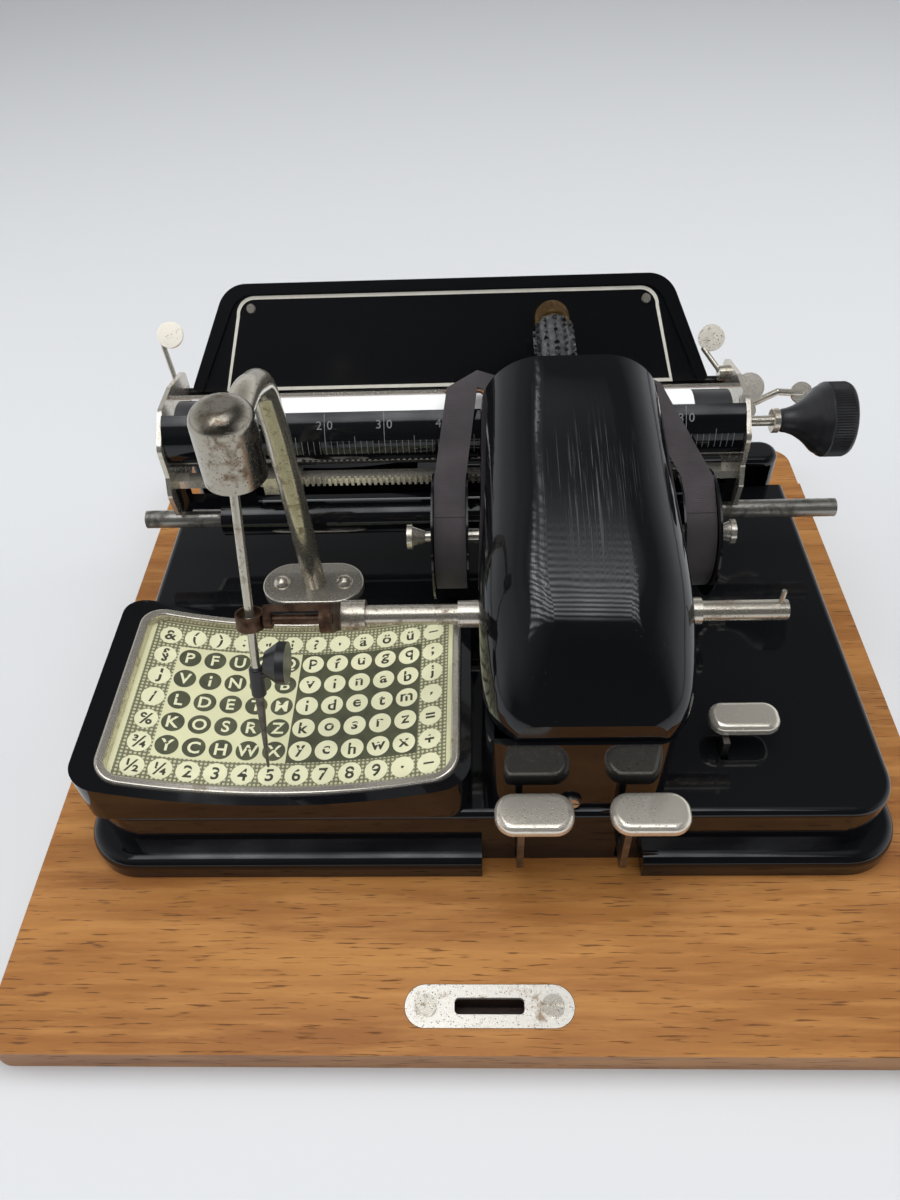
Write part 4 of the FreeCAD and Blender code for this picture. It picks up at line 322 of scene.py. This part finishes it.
def hood_scratches(r):
    """Fine crossing scratches in one worn patch on the hood's crown."""
    heart = r.node("ShaderNodeVectorMath", {"operation": "DISTANCE"},
                   {0: r.stretch((1.0, 0.62, 0.3)), 1: (0.041, -0.010, 0.045)}, "Value")
    patch = 1 - heart.clip(0.004, 0.030)
    hairs = None
    for angle, where in ((0.22, 0.0), (0.42, 3.1), (-0.16, 7.3), (0.32, 11.9), (0.6, 17.7), (0.5, 23.9)):
        streak = r.noise(1.0, 3, r.stretch((1400, 20, 20), angle, (where, where, 0))).clip(0.57, 0.74)
        hairs = streak if hairs is None else hairs + streak
    return hairs.clip(0.0, 1.2) * patch


black_lacquer = lacquer("black_lacquer")
hood_lacquer = lacquer("hood_lacquer", 0.05, 0.8, True)
table_lacquer = lacquer("table_lacquer", 0.16, 0.9)


# %% Oak
def oak_finish():
    """Grain along X. The floor of the latch's pocket, under the slot, is darkened as if in shade."""
    r = Recipe("oiled_oak")
    long = r.stretch((2.2, 26, 26))
    rings = r.noise(1.6, 6, long, 0.6)
    streaks = r.noise(7.0, 5, long, 0.65)
    pores = r.noise(1.0, 2, r.stretch((70, 1100, 900))).clip(0.60, 0.68)
    warm = r.mix(rings.clip(0.38, 0.62), (0.345, 0.150, 0.036), (0.225, 0.084, 0.018))
    warm = r.mix(streaks.clip(0.45, 0.68) * 0.6, warm, (0.45, 0.215, 0.062))
    stains = r.noise(9, 4).clip(0.6, 0.8) * 0.4
    warm = r.mix(stains, warm, (0.13, 0.052, 0.017))
    warm = r.mix(pores * 0.8, warm, (0.085, 0.033, 0.011))
    around = r.node("ShaderNodeVectorMath", {"operation": "DISTANCE"},
                    {0: r.stretch((0.5, 1, 0)), 1: (0, -0.1513, 0)}, "Value")
    pocket = (1 - around.clip(0.012, 0.016)) * (1 - r.axis("Z").clip(0.0124, 0.0131))
    r.put(Base_Color=r.mix(pocket, warm, (0.022, 0.010, 0.006)))
    r.put(Roughness=pores * 0.25 + streaks * 0.2 + 0.34)
    r.bump(streaks * 0.5 - pores, 0.3, 0.0004)
    return r.material


oak = oak_finish()


# %% Rubber, moulded parts, paper and print
def plain_finish(name, colour, other, scale, rough, grain, depth=0.0001):
    """Two close tones in clouds, with a fine grain of the given depth in metres."""
    r = Recipe(name)
    cloud = r.noise(scale, 5)
    r.put(Base_Color=r.mix(cloud.clip(0.35, 0.65), colour, other), Roughness=cloud * 0.15 + rough)
    r.bump(r.noise(grain, 3), 0.25, depth)
    return r.material


hard_rubber = plain_finish("hard_rubber", (0.018, 0.018, 0.02), (0.03, 0.03, 0.033), 60, 0.32, 900)
bakelite = plain_finish("bakelite", (0.012, 0.012, 0.014), (0.02, 0.02, 0.022), 90, 0.24, 500)
typing_paper = plain_finish("typing_paper", (0.80, 0.80, 0.79), (0.76, 0.76, 0.75), 40, 0.75, 2500)
print_pale = plain_finish("print_pale", (0.72, 0.71, 0.48), (0.66, 0.65, 0.43), 120, 0.3, 700)
print_field = plain_finish("print_field", (0.66, 0.65, 0.41), (0.60, 0.59, 0.37), 60, 0.3, 700)
print_dark = plain_finish("print_dark", (0.055, 0.058, 0.034), (0.085, 0.088, 0.05), 150, 0.32, 700)
print_ink = plain_finish("print_ink", (0.035, 0.036, 0.025), (0.05, 0.052, 0.034), 300, 0.32, 900)
cream_line = plain_finish("cream_line", (0.66, 0.64, 0.56), (0.58, 0.56, 0.48), 200, 0.4, 700)
engraving = plain_finish("engraving", (0.20, 0.205, 0.21), (0.13, 0.135, 0.14), 400, 0.5, 900)


def bands(r, direction, scale):
    return r.node("ShaderNodeTexWave", {"bands_direction": direction}, {"Vector": r.place, "Scale": scale})


def hatched_border():
    """The chart's border is printed in fine pale dots on olive."""
    r = Recipe("print_hatched", Roughness=0.3)
    dots = (bands(r, "X", 190.0) * bands(r, "Y", 190.0)).clip(0.2, 0.5)
    r.put(Base_Color=r.mix(dots, (0.15, 0.15, 0.085), (0.52, 0.51, 0.34)))
    return r.material


print_hatched = hatched_border()


def ribbon_cloth():
    """Fine black cloth with a faint weave."""
    r = Recipe("inked_ribbon", Roughness=0.62, Sheen_Weight=0.25)
    warp, weft = bands(r, "X", 900.0), bands(r, "Z", 700.0)
    cloud = r.noise(45, 4)
    r.put(Base_Color=r.mix(cloud.clip(0.35, 0.7), (0.022, 0.018, 0.020), (0.045, 0.037, 0.040)))
    r.bump(warp * 0.5 + weft * 0.5 + cloud, 0.3, 0.00015)
    return r.material


inked_ribbon = ribbon_cloth()

# %% [markdown]
# ## Dressing the frame
# The CAD pieces whose shapes are right keep them and only change their material.

# %% Materials for the CAD pieces
FINISHES = {
    oak: ["oak_board"],
    plate_nickel: ["latch_plate"],
    worn_nickel: ["frame_screws", "card_rim", "gooseneck_flange", "spool_spindles", "shaft_bushes",
                  "left_side_plate", "right_side_plate", "paper_bail", "margin_stop", "platen_axle",
                  "line_lever", "release_lever", "left_paper_arm", "right_paper_arm"],
    key_nickel: ["print_key", "space_key", "back_key", "rack_bar"],
    dome_nickel: ["pointer_dome"],
    neck_nickel: ["gooseneck_tube", "pointer_rod"],
    shaft_nickel: ["selector_shaft"],
    rail_steel: ["carriage_rail"],
    black_lacquer: ["base_casting", "tower_block", "left_spool", "right_spool", "carriage_sleeve",
                    "scale_plate"],
    hood_lacquer: ["hood"],
    table_lacquer: ["paper_table"],
    dark_steel: ["key_axle", "swivel_ring", "swivel_ball", "key_sleeve", "type_arm", "shift_wheel",
                 "lay_shaft", "type_pinion", "type_spindle", "shift_slide", "print_lever",
                 "space_lever", "back_lever", "pointer_tip"],
    browned_steel: ["crank_yoke", "eye_cup"],
    type_steel: ["type_sleeve"],
    tarnished_brass: ["type_knob"],
    copper_wire: ["ribbon_guides"],
    hard_rubber: ["platen", "feed_roller"],
    bakelite: ["platen_knob", "pointer_button"],
    print_field: ["index_card"],
    typing_paper: ["paper_sheet"],
    inked_ribbon: ["ribbon"],
}
for finish, names in FINISHES.items():
    for name in names:
        mesh = nodes[name].data
        mesh.materials.clear()
        mesh.materials.append(finish)
undressed = set(nodes) - {name for names in FINISHES.values() for name in names}
print("undressed:", sorted(undressed))


# %% [markdown]
# ## Helpers for new pieces
# Each new piece starts as a bmesh, is shaped by operators, and becomes an object at the origin
# whose place is in its mesh, riding on the body that carries it.

# %% Piece helpers
def piece(name, bm, body, finish, smooth=None):
    """Turns a bmesh into an object that rides on a body."""
    mesh = bpy.data.meshes.new(name)
    bm.to_mesh(mesh)
    bm.free()
    mesh.materials.append(finish)
    made = bpy.data.objects.new(name, mesh)
    bpy.context.scene.collection.objects.link(made)
    if smooth is not None:
        mesh.shade_smooth()
        mesh.set_sharp_from_angle(angle=math.radians(smooth))
    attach(made, body)
    return made


def lettering(words, height, weight=0.02, thick=0.0):
    """Text as a mesh about its own middle, ready to be moved and bent."""
    curve = bpy.data.curves.new("words", "FONT")
    curve.body = words
    curve.size = height
    curve.offset = weight * height
    curve.align_x = "CENTER"
    curve.resolution_u = 3
    curve.extrude = thick
    holder = bpy.data.objects.new("words", curve)
    bpy.context.scene.collection.objects.link(holder)
    bpy.context.view_layer.update()
    flat = bpy.data.meshes.new_from_object(holder)
    bpy.data.objects.remove(holder)
    low = min((v.co.y for v in flat.vertices), default=0)
    high = max((v.co.y for v in flat.vertices), default=0)
    middle = sum(f(v.co.x for v in flat.vertices) for f in (min, max)) / 2
    flat.transform(Matrix.Translation((-middle, -(low + high) / 2, 0)))
    return flat


def lathe(profile, segments, ribs=None):
    """Spins points (along, radius) about the X axis. ribs = (from, to, depth, how many)."""
    bm = bmesh.new()
    points = [bm.verts.new((along, 0, radius)) for along, radius in profile]
    edges = [bm.edges.new(pair) for pair in zip(points, points[1:])]
    bmesh.ops.spin(bm, geom=points + edges, cent=(0, 0, 0), axis=(1, 0, 0), angle=math.tau, steps=segments)
    bmesh.ops.remove_doubles(bm, verts=bm.verts, dist=1e-4)
    bmesh.ops.recalc_face_normals(bm, faces=bm.faces)
    if ribs:
        start, end, depth, count = ribs
        for v in bm.verts:
            if start <= v.co.x <= end:
                dip = depth * (0.5 + 0.5 * math.cos(math.atan2(v.co.y, v.co.z) * count))
                radius = math.hypot(v.co.y, v.co.z)
                v.co.y, v.co.z = v.co.y * (1 - dip / radius), v.co.z * (1 - dip / radius)
    return bm


# %% [markdown]
# ## The chart
# The pointer hangs from a fixed point, so the chart is bent to a cylinder that keeps the tip just
# above the print. Discs, letters and fields are laid out flat, with one column every 10.4 mm and
# one row every 11 mm, and then rolled onto that cylinder.

# %% Chart layout
CARD_X, CARD_Y, CARD_UP, CARD_CURVE = -78.0, -46.25, 38.0, 210.0
COLUMN, ROW = 10.41, 10.96
DISC_R, SIGN_TALL, BORDER_EDGE = 4.55, 7.4, 1.6
BORDER_LIFT, FIELD_LIFT, DISC_LIFT, SIGN_LIFT = 0.02, 0.05, 0.09, 0.13
CHART = ("&():\"!?'äöü_", "§PFUGQpfugq;", "JVINABvinabj", "/LDETMldetm,", "%KOSRZkosrz=", "¾YCHWXychwx+",
         "½¼23456789.–")


def roll(bm, lift):
    """Rolls flat chart millimetres (across, deep) onto the card, lift above its face."""
    for v in bm.verts:
        turn_by = v.co.x / CARD_CURVE
        reach = CARD_CURVE - lift - v.co.z
        v.co = at(CARD_X + reach * math.sin(turn_by), CARD_Y + v.co.y,
                  CARD_UP + CARD_CURVE - reach * math.cos(turn_by))


def cell_centre(column, row):
    return (column - 5.5) * COLUMN, (3 - row) * ROW


def field(bm, left, right, low, high):
    """A flat rectangle, cut across every 3 mm or so, so that it can be rolled."""
    grid = bmesh.ops.create_grid(bm, x_segments=int((right - left) / 3) + 1, y_segments=1, size=0.5)
    size = Matrix.Diagonal((right - left, high - low, 1, 1))
    middle = Matrix.Translation(((left + right) / 2, (low + high) / 2, 0))
    bmesh.ops.transform(bm, matrix=middle @ size, verts=grid["verts"])


# %% Chart fields, discs and letters
def is_border(column, row):
    return column in (0, 11) or row in (0, 6)


half_wide, half_deep = 6 * COLUMN, 3.5 * ROW
inner_wide, inner_deep = half_wide - COLUMN, half_deep - ROW
edge_x, edge_y = half_wide + BORDER_EDGE, half_deep + BORDER_EDGE
for name, box, lift, finish in (
        ("chart_border", (-edge_x, edge_x, -edge_y, edge_y), BORDER_LIFT, print_hatched),
        ("chart_left_field", (-inner_wide, 0, -inner_deep, inner_deep), FIELD_LIFT, print_field),
        ("chart_right_field", (0, inner_wide, -inner_deep, inner_deep), FIELD_LIFT, print_dark)):
    ground = bmesh.new()
    field(ground, *box)
    roll(ground, lift)
    piece(name, ground, "frame", finish)

discs = {"pale": bmesh.new(), "dark": bmesh.new()}
marks = {"pale": bmesh.new(), "dark": bmesh.new()}
for row, line in enumerate(CHART):
    for column, sign in enumerate(line):
        inside_left = not is_border(column, row) and column <= 5
        ground, ink = ("dark", "pale") if inside_left else ("pale", "dark")
        x, y = cell_centre(column, row)
        bmesh.ops.create_circle(discs[ground], cap_ends=True, segments=28, radius=DISC_R,
                                matrix=Matrix.Translation((x, y, 0)))
        letter = lettering(sign, SIGN_TALL, 0.022)
        letter.transform(Matrix.Translation((x, y, 0)))
        marks[ink].from_mesh(letter)
        bpy.data.meshes.remove(letter)
PRINTS = {"pale": print_pale, "dark": print_dark}
INKS = {"pale": print_pale, "dark": print_ink}
for tone, bm in discs.items():
    roll(bm, DISC_LIFT)
    piece("chart_%s_discs" % tone, bm, "frame", PRINTS[tone])
for tone, bm in marks.items():
    roll(bm, SIGN_LIFT)
    piece("chart_%s_letters" % tone, bm, "frame", INKS[tone])
print("chart:", sum(len(line) for line in CHART), "cells")

# %% [markdown]
# ## The carriage scale
# A black strip wraps the front of the platen, engraved with a line for each letter space and a
# number at each tenth one, its two digits either side of the line.

# %% Scale marks
PLATEN_Y, PLATEN_UP, SCALE_R = 60.0, 98.0, 15.43
PITCH_MM, ZERO_X, LAST_X = 2.54, -117.3, 108
MARKS_END, NUMBER_DOWN, NUMBER_TALL, DIGIT_SHIFT = 26.0, 12.6, 5.2, 2.3


def wrap(bm, lift=0.0):
    """Wraps flat millimetres (along the platen, down its front) round the scale strip."""
    for v in bm.verts:
        angle = math.radians(90) + (-v.co.y) / SCALE_R
        reach = SCALE_R + lift + v.co.z
        v.co = at(v.co.x, PLATEN_Y + reach * math.cos(angle), PLATEN_UP + reach * math.sin(angle))


def mark(bm, x, top_at, bottom_at, wide):
    """One engraved line; top_at and bottom_at are measured down the strip's face."""
    grid = bmesh.ops.create_grid(bm, x_segments=1, y_segments=10, size=0.5)
    bmesh.ops.transform(bm, matrix=Matrix.Translation((x, -(top_at + bottom_at) / 2, 0))
                        @ Matrix.Diagonal((wide, bottom_at - top_at, 1, 1)), verts=grid["verts"])


scale = bmesh.new()
for i in range(1, 90):
    x = ZERO_X + i * PITCH_MM
    if x > LAST_X:
        break
    top_at, wide = (7.6, 0.28) if i % 10 == 0 else (17.5, 0.26) if i % 5 == 0 else (19.5, 0.22)
    mark(scale, x, top_at, MARKS_END, wide)
for ten in range(1, 9):
    for digit, shift in zip("%d0" % ten, (-DIGIT_SHIFT, DIGIT_SHIFT)):
        number = lettering(digit, NUMBER_TALL, 0.0)
        number.transform(Matrix.Translation((ZERO_X + ten * 10 * PITCH_MM + shift, -NUMBER_DOWN, 0)))
        scale.from_mesh(number)
        bpy.data.meshes.remove(number)
wrap(scale, 0.03)
piece("scale_marks", scale, "carriage", engraving)

# %% [markdown]
# ## The paper table's painted line
# A cream line runs round the table's face, with rounded corners, and two small screws sit in it.

# %% Frame line
TABLE_X, TABLE_Y, TABLE_UP, TABLE_LEAN = -15.0, 95.8, 96.0, 31.0
table_turn = Matrix.Translation(at(TABLE_X, TABLE_Y, TABLE_UP)) @ Matrix.Rotation(
    math.radians(90 - TABLE_LEAN), 4, "X") @ Matrix.Scale(MM, 4)


def rounded_loop(half_low, half_top, low, high, corner, steps=8):
    """Corner points of a trapezoid whose upper corners are rounded, anticlockwise from low left."""
    points = [Vector((-half_low, low, 0)), Vector((half_low, low, 0))]
    for way in (1, -1):
        centre = Vector((way * (half_top - corner), high - corner, 0))
        for i in range(steps + 1):
            a = math.radians(90 * i / steps if way > 0 else 90 + 90 * i / steps)
            points.append(centre + Vector((corner * math.cos(a), corner * math.sin(a), 0)))
    return points


def ring_between(bm, outer, inner, height):
    """A flat band of faces between two loops with as many points each."""
    for loop in zip(outer, outer[1:] + outer[:1], inner[1:] + inner[:1], inner):
        bm.faces.new([bm.verts.new(p + Vector((0, 0, height))) for p in loop])


LINE_UP, SCREW_UP = 7.06, 7.4
line = bmesh.new()
outer_loop = rounded_loop(102.8, 95.3, 0.0, 41.7, 8.5)
inner_loop = rounded_loop(101.3, 93.9, 1.5, 40.2, 7.2)
ring_between(line, outer_loop, inner_loop, LINE_UP)
bmesh.ops.remove_doubles(line, verts=line.verts, dist=0.001)
bmesh.ops.transform(line, matrix=table_turn, verts=line.verts)
piece("table_line", line, "carriage", cream_line)

table_screws = bmesh.new()
for x in (-88.6, 89.6):
    head = bmesh.ops.create_cone(table_screws, cap_ends=True, segments=20, radius1=2.2, radius2=1.8,
                                 depth=0.9)
    place = table_turn @ Matrix.Translation((x, 36.3, SCREW_UP))
    bmesh.ops.transform(table_screws, matrix=place, verts=head["verts"])
piece("table_screws", table_screws, "carriage", worn_nickel, 30)

# %% [markdown]
# ## Turned and knurled parts
# The platen's knob is moulded with fine ribs round its rim, and the type cylinder ends in a knurled
# brass knob. Both are profiles spun round an axis.

# %% Platen knob and its collar
def about_platen(bm, x):
    """Moves a turned shape onto the platen's axis, its start at x."""
    for v in bm.verts:
        v.co = at(x + v.co.x, PLATEN_Y + v.co.y, PLATEN_UP + v.co.z)
    return bm


rim = [(18.5 + 0.6 * i, 16.0) for i in range(15)]
knob_profile = [(0, 0), (0, 4.2), (1, 5.0), (3, 5.3), (6, 6.4), (8, 7.6), (10, 9.0), (11.5, 10.3),
                (13, 11.8), (14, 12.9), (15, 13.9), (16.2, 14.6), (17, 15.0), (17.6, 15.6), *rim,
                (27.8, 15.6), (28.5, 15.2), (28.9, 14.2), (29, 12.5), (28.6, 11), (28.6, 0)]
KNOB_X, COLLAR_X = 129.0, 125.8
knob_ribs = (18.6, 27.2, 0.5, 84)
knob = piece("ribbed_knob", about_platen(lathe(knob_profile, 336, knob_ribs), KNOB_X), "platen",
             bakelite, 40)
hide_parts("platen_knob")
collar_profile = [(0, 2.0), (0, 4.9), (0.4, 5.3), (2.6, 5.3), (3.0, 4.9), (3.0, 2.0)]
piece("knob_collar", about_platen(lathe(collar_profile, 48), COLLAR_X), "platen", worn_nickel,
      30)

# %% Type cylinder
SHAFT_Y, SHAFT_UP, TYPE_X, TYPE_RISE = -44.1, 90.0, 31.5, 31.8
STRIKE = math.radians(4)
TYPE_ROWS, TYPE_LANES, FIRST_ROW, ROW_STEP, TYPE_R = 7, 12, 102.0, 4.25, 8.2


def on_type_axis(bm):
    """From (along the axis, sideways, up) in millimetres to the tipped-back type cylinder."""
    for v in bm.verts:
        along, up = v.co.x, TYPE_RISE + v.co.z
        v.co = at(TYPE_X + v.co.y, SHAFT_Y + along * math.cos(STRIKE) - up * math.sin(STRIKE),
                  SHAFT_UP + along * math.sin(STRIKE) + up * math.cos(STRIKE))
    return bm


sleeve = lathe([(99.5, 5.0), (99.5, 7.1), (99.9, 7.6), (129.6, 7.6), (130, 7.1), (130, 5.0)], 72)
SIGNS = "ABCDEFGHIJKLMNOPQRSTUVWXYZ&abcdefghijklmnopqrstuvwxyz1234567890?!+=/;:"
for row in range(TYPE_ROWS):
    for lane in range(TYPE_LANES):
        sign = lettering(SIGNS[(row * TYPE_LANES + lane * 5) % len(SIGNS)], 3.3, 0.01, 0.6)
        sign.transform(Matrix.Rotation(math.radians(90), 4, "Z"))
        for v in sign.vertices:
            turn_by = math.tau * lane / TYPE_LANES + v.co.y / TYPE_R
            reach = TYPE_R + v.co.z
            v.co = (FIRST_ROW + row * ROW_STEP + v.co.x, reach * math.sin(turn_by), reach * math.cos(turn_by))
        sleeve.from_mesh(sign)
        bpy.data.meshes.remove(sign)
lettered = piece("lettered_sleeve", on_type_axis(sleeve), "type_cylinder", type_steel, 35)
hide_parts("type_sleeve")
band = [(134.2 + 0.6 * i, 7.4) for i in range(11)]
brass_profile = [(130.05, 0), (130.05, 6.0), (130.3, 6.2), (133, 6.2), (133.1, 6.7), (133.7, 7.3), *band,
                 (141, 7.2), (142.2, 6.6), (143.2, 5.6), (143.9, 4.0), (144, 3.0), (144, 0)]
brass_ribs = (134.0, 140.4, 0.35, 60)
brass = piece("knurled_knob", on_type_axis(lathe(brass_profile, 240, brass_ribs)), "type_cylinder",
              tarnished_brass, 35)
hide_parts("type_knob")

# %% [markdown]
# ## Ribbon and paper
# Both are thin sheets. The ribbon leaves each spool, climbs to its wire guide, folds over and dips
# under the type. It is 12.7 mm wide, and a span between two supports ripples very slightly. The
# paper lies round the platen, behind the scale.

# %% Ribbon
SPOOL_Y, SPOOL_UP, SPOOL_WIDE = 13.4, 76.0, 14.8
LEFT_SPOOL_X, RIGHT_SPOOL_X, OUTER_R, WOUND_R, WOUND_WIDE = -20.4, 78.6, 22.3, 22.05, 12.6
GUIDE_Y, GUIDE_UP, DIP_UP, CLOTH = 54.0, 122.4, 112.45, 12.7


def strip(bm, pairs):
    """Faces between following pairs of points, each pair an edge across the cloth."""
    rows = [[bm.verts.new(point) for point in pair] for pair in pairs]
    for near, far in zip(rows, rows[1:]):
        bm.faces.new((near[0], near[1], far[1], far[0]))


def between(first, last, steps, ripple=0.0):
    """Edges from the first to the last; a ripple stirs the middle of the span."""
    for i in range(steps + 1):
        share = i / steps
        wave = ripple * math.sin(share * math.tau * 2.5) * math.sin(share * math.pi)
        yield [a.lerp(b, share) + Vector((0, -wave, wave * 0.6)) for a, b in zip(first, last)]


cloth = bmesh.new()
span = math.hypot(GUIDE_Y - SPOOL_Y, GUIDE_UP - SPOOL_UP)
touch = math.atan2(GUIDE_UP - SPOOL_UP, GUIDE_Y - SPOOL_Y) + math.acos(OUTER_R / span)
touch_y, touch_up = SPOOL_Y + OUTER_R * math.cos(touch), SPOOL_UP + OUTER_R * math.sin(touch)
for way, roll_x, guide_x in ((1, LEFT_SPOOL_X + (SPOOL_WIDE - CLOTH) / 2, -14.0),
                             (-1, RIGHT_SPOOL_X + (SPOOL_WIDE + CLOTH) / 2, 74.2)):
    low = [Vector((x, touch_y, touch_up)) for x in (roll_x, roll_x + way * CLOTH)]
    high = [Vector((x, GUIDE_Y, GUIDE_UP)) for x in (guide_x, guide_x + way * CLOTH)]
    climb = Vector((0, GUIDE_Y - touch_y, GUIDE_UP - touch_up)).normalized() * 15
    past = [corner + climb for corner in low]
    strip(cloth, between(low, past, 5))
    strip(cloth, between(past, high, 16, 0.35))
    crease = [cloth.verts.new(p) for p in (*high, high[1] + Vector((0, CLOTH, 0)))]
    cloth.faces.new(crease)
    flat_x = TYPE_X - way * 6
    runs = [[Vector((x, GUIDE_Y, up)), Vector((x, GUIDE_Y + CLOTH, up))]
            for x, up in ((guide_x + way * CLOTH, GUIDE_UP), (flat_x, DIP_UP), (TYPE_X, DIP_UP))]
    strip(cloth, between(runs[0], runs[1], 10))
    strip(cloth, between(runs[1], runs[2], 2))
bmesh.ops.remove_doubles(cloth, verts=cloth.verts, dist=0.01)
bmesh.ops.recalc_face_normals(cloth, faces=cloth.faces)
area = sum(face.calc_area() for face in cloth.faces)
for v in cloth.verts:
    v.co = at(*v.co)
web = piece("ribbon_web", cloth, "frame", inked_ribbon, 50)
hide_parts("ribbon")
area / CLOTH * MM
print("ribbon length", round(area / CLOTH, 1), "mm")

# %% Wound ribbon on the spools
for spool, left in (("left_spool", LEFT_SPOOL_X), ("right_spool", RIGHT_SPOOL_X)):
    wound = lathe([(0, WOUND_R), (WOUND_WIDE, WOUND_R)], 96)
    for v in wound.verts:
        v.co = at(left + (SPOOL_WIDE - WOUND_WIDE) / 2 + v.co.x, SPOOL_Y + v.co.y, SPOOL_UP + v.co.z)
    turns = piece(spool + "_wound", wound, spool, inked_ribbon, 60)

# %% Paper
PAPER_LEFT, PAPER_RIGHT, PAPER_R, PAPER_TURN, PAPER_FROM, PAPER_STEPS = -92, 90, 14.3, 145, -5, 48
paper = bmesh.new()
around = [math.radians(PAPER_FROM + PAPER_TURN * i / PAPER_STEPS) for i in range(PAPER_STEPS + 1)]
strip(paper, [[at(x, PLATEN_Y + PAPER_R * math.cos(a), PLATEN_UP + PAPER_R * math.sin(a))
               for x in (PAPER_LEFT, PAPER_RIGHT)] for a in around])
bmesh.ops.recalc_face_normals(paper, faces=paper.faces)
page = piece("page", paper, "carriage", typing_paper, 60)
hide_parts("paper_sheet")
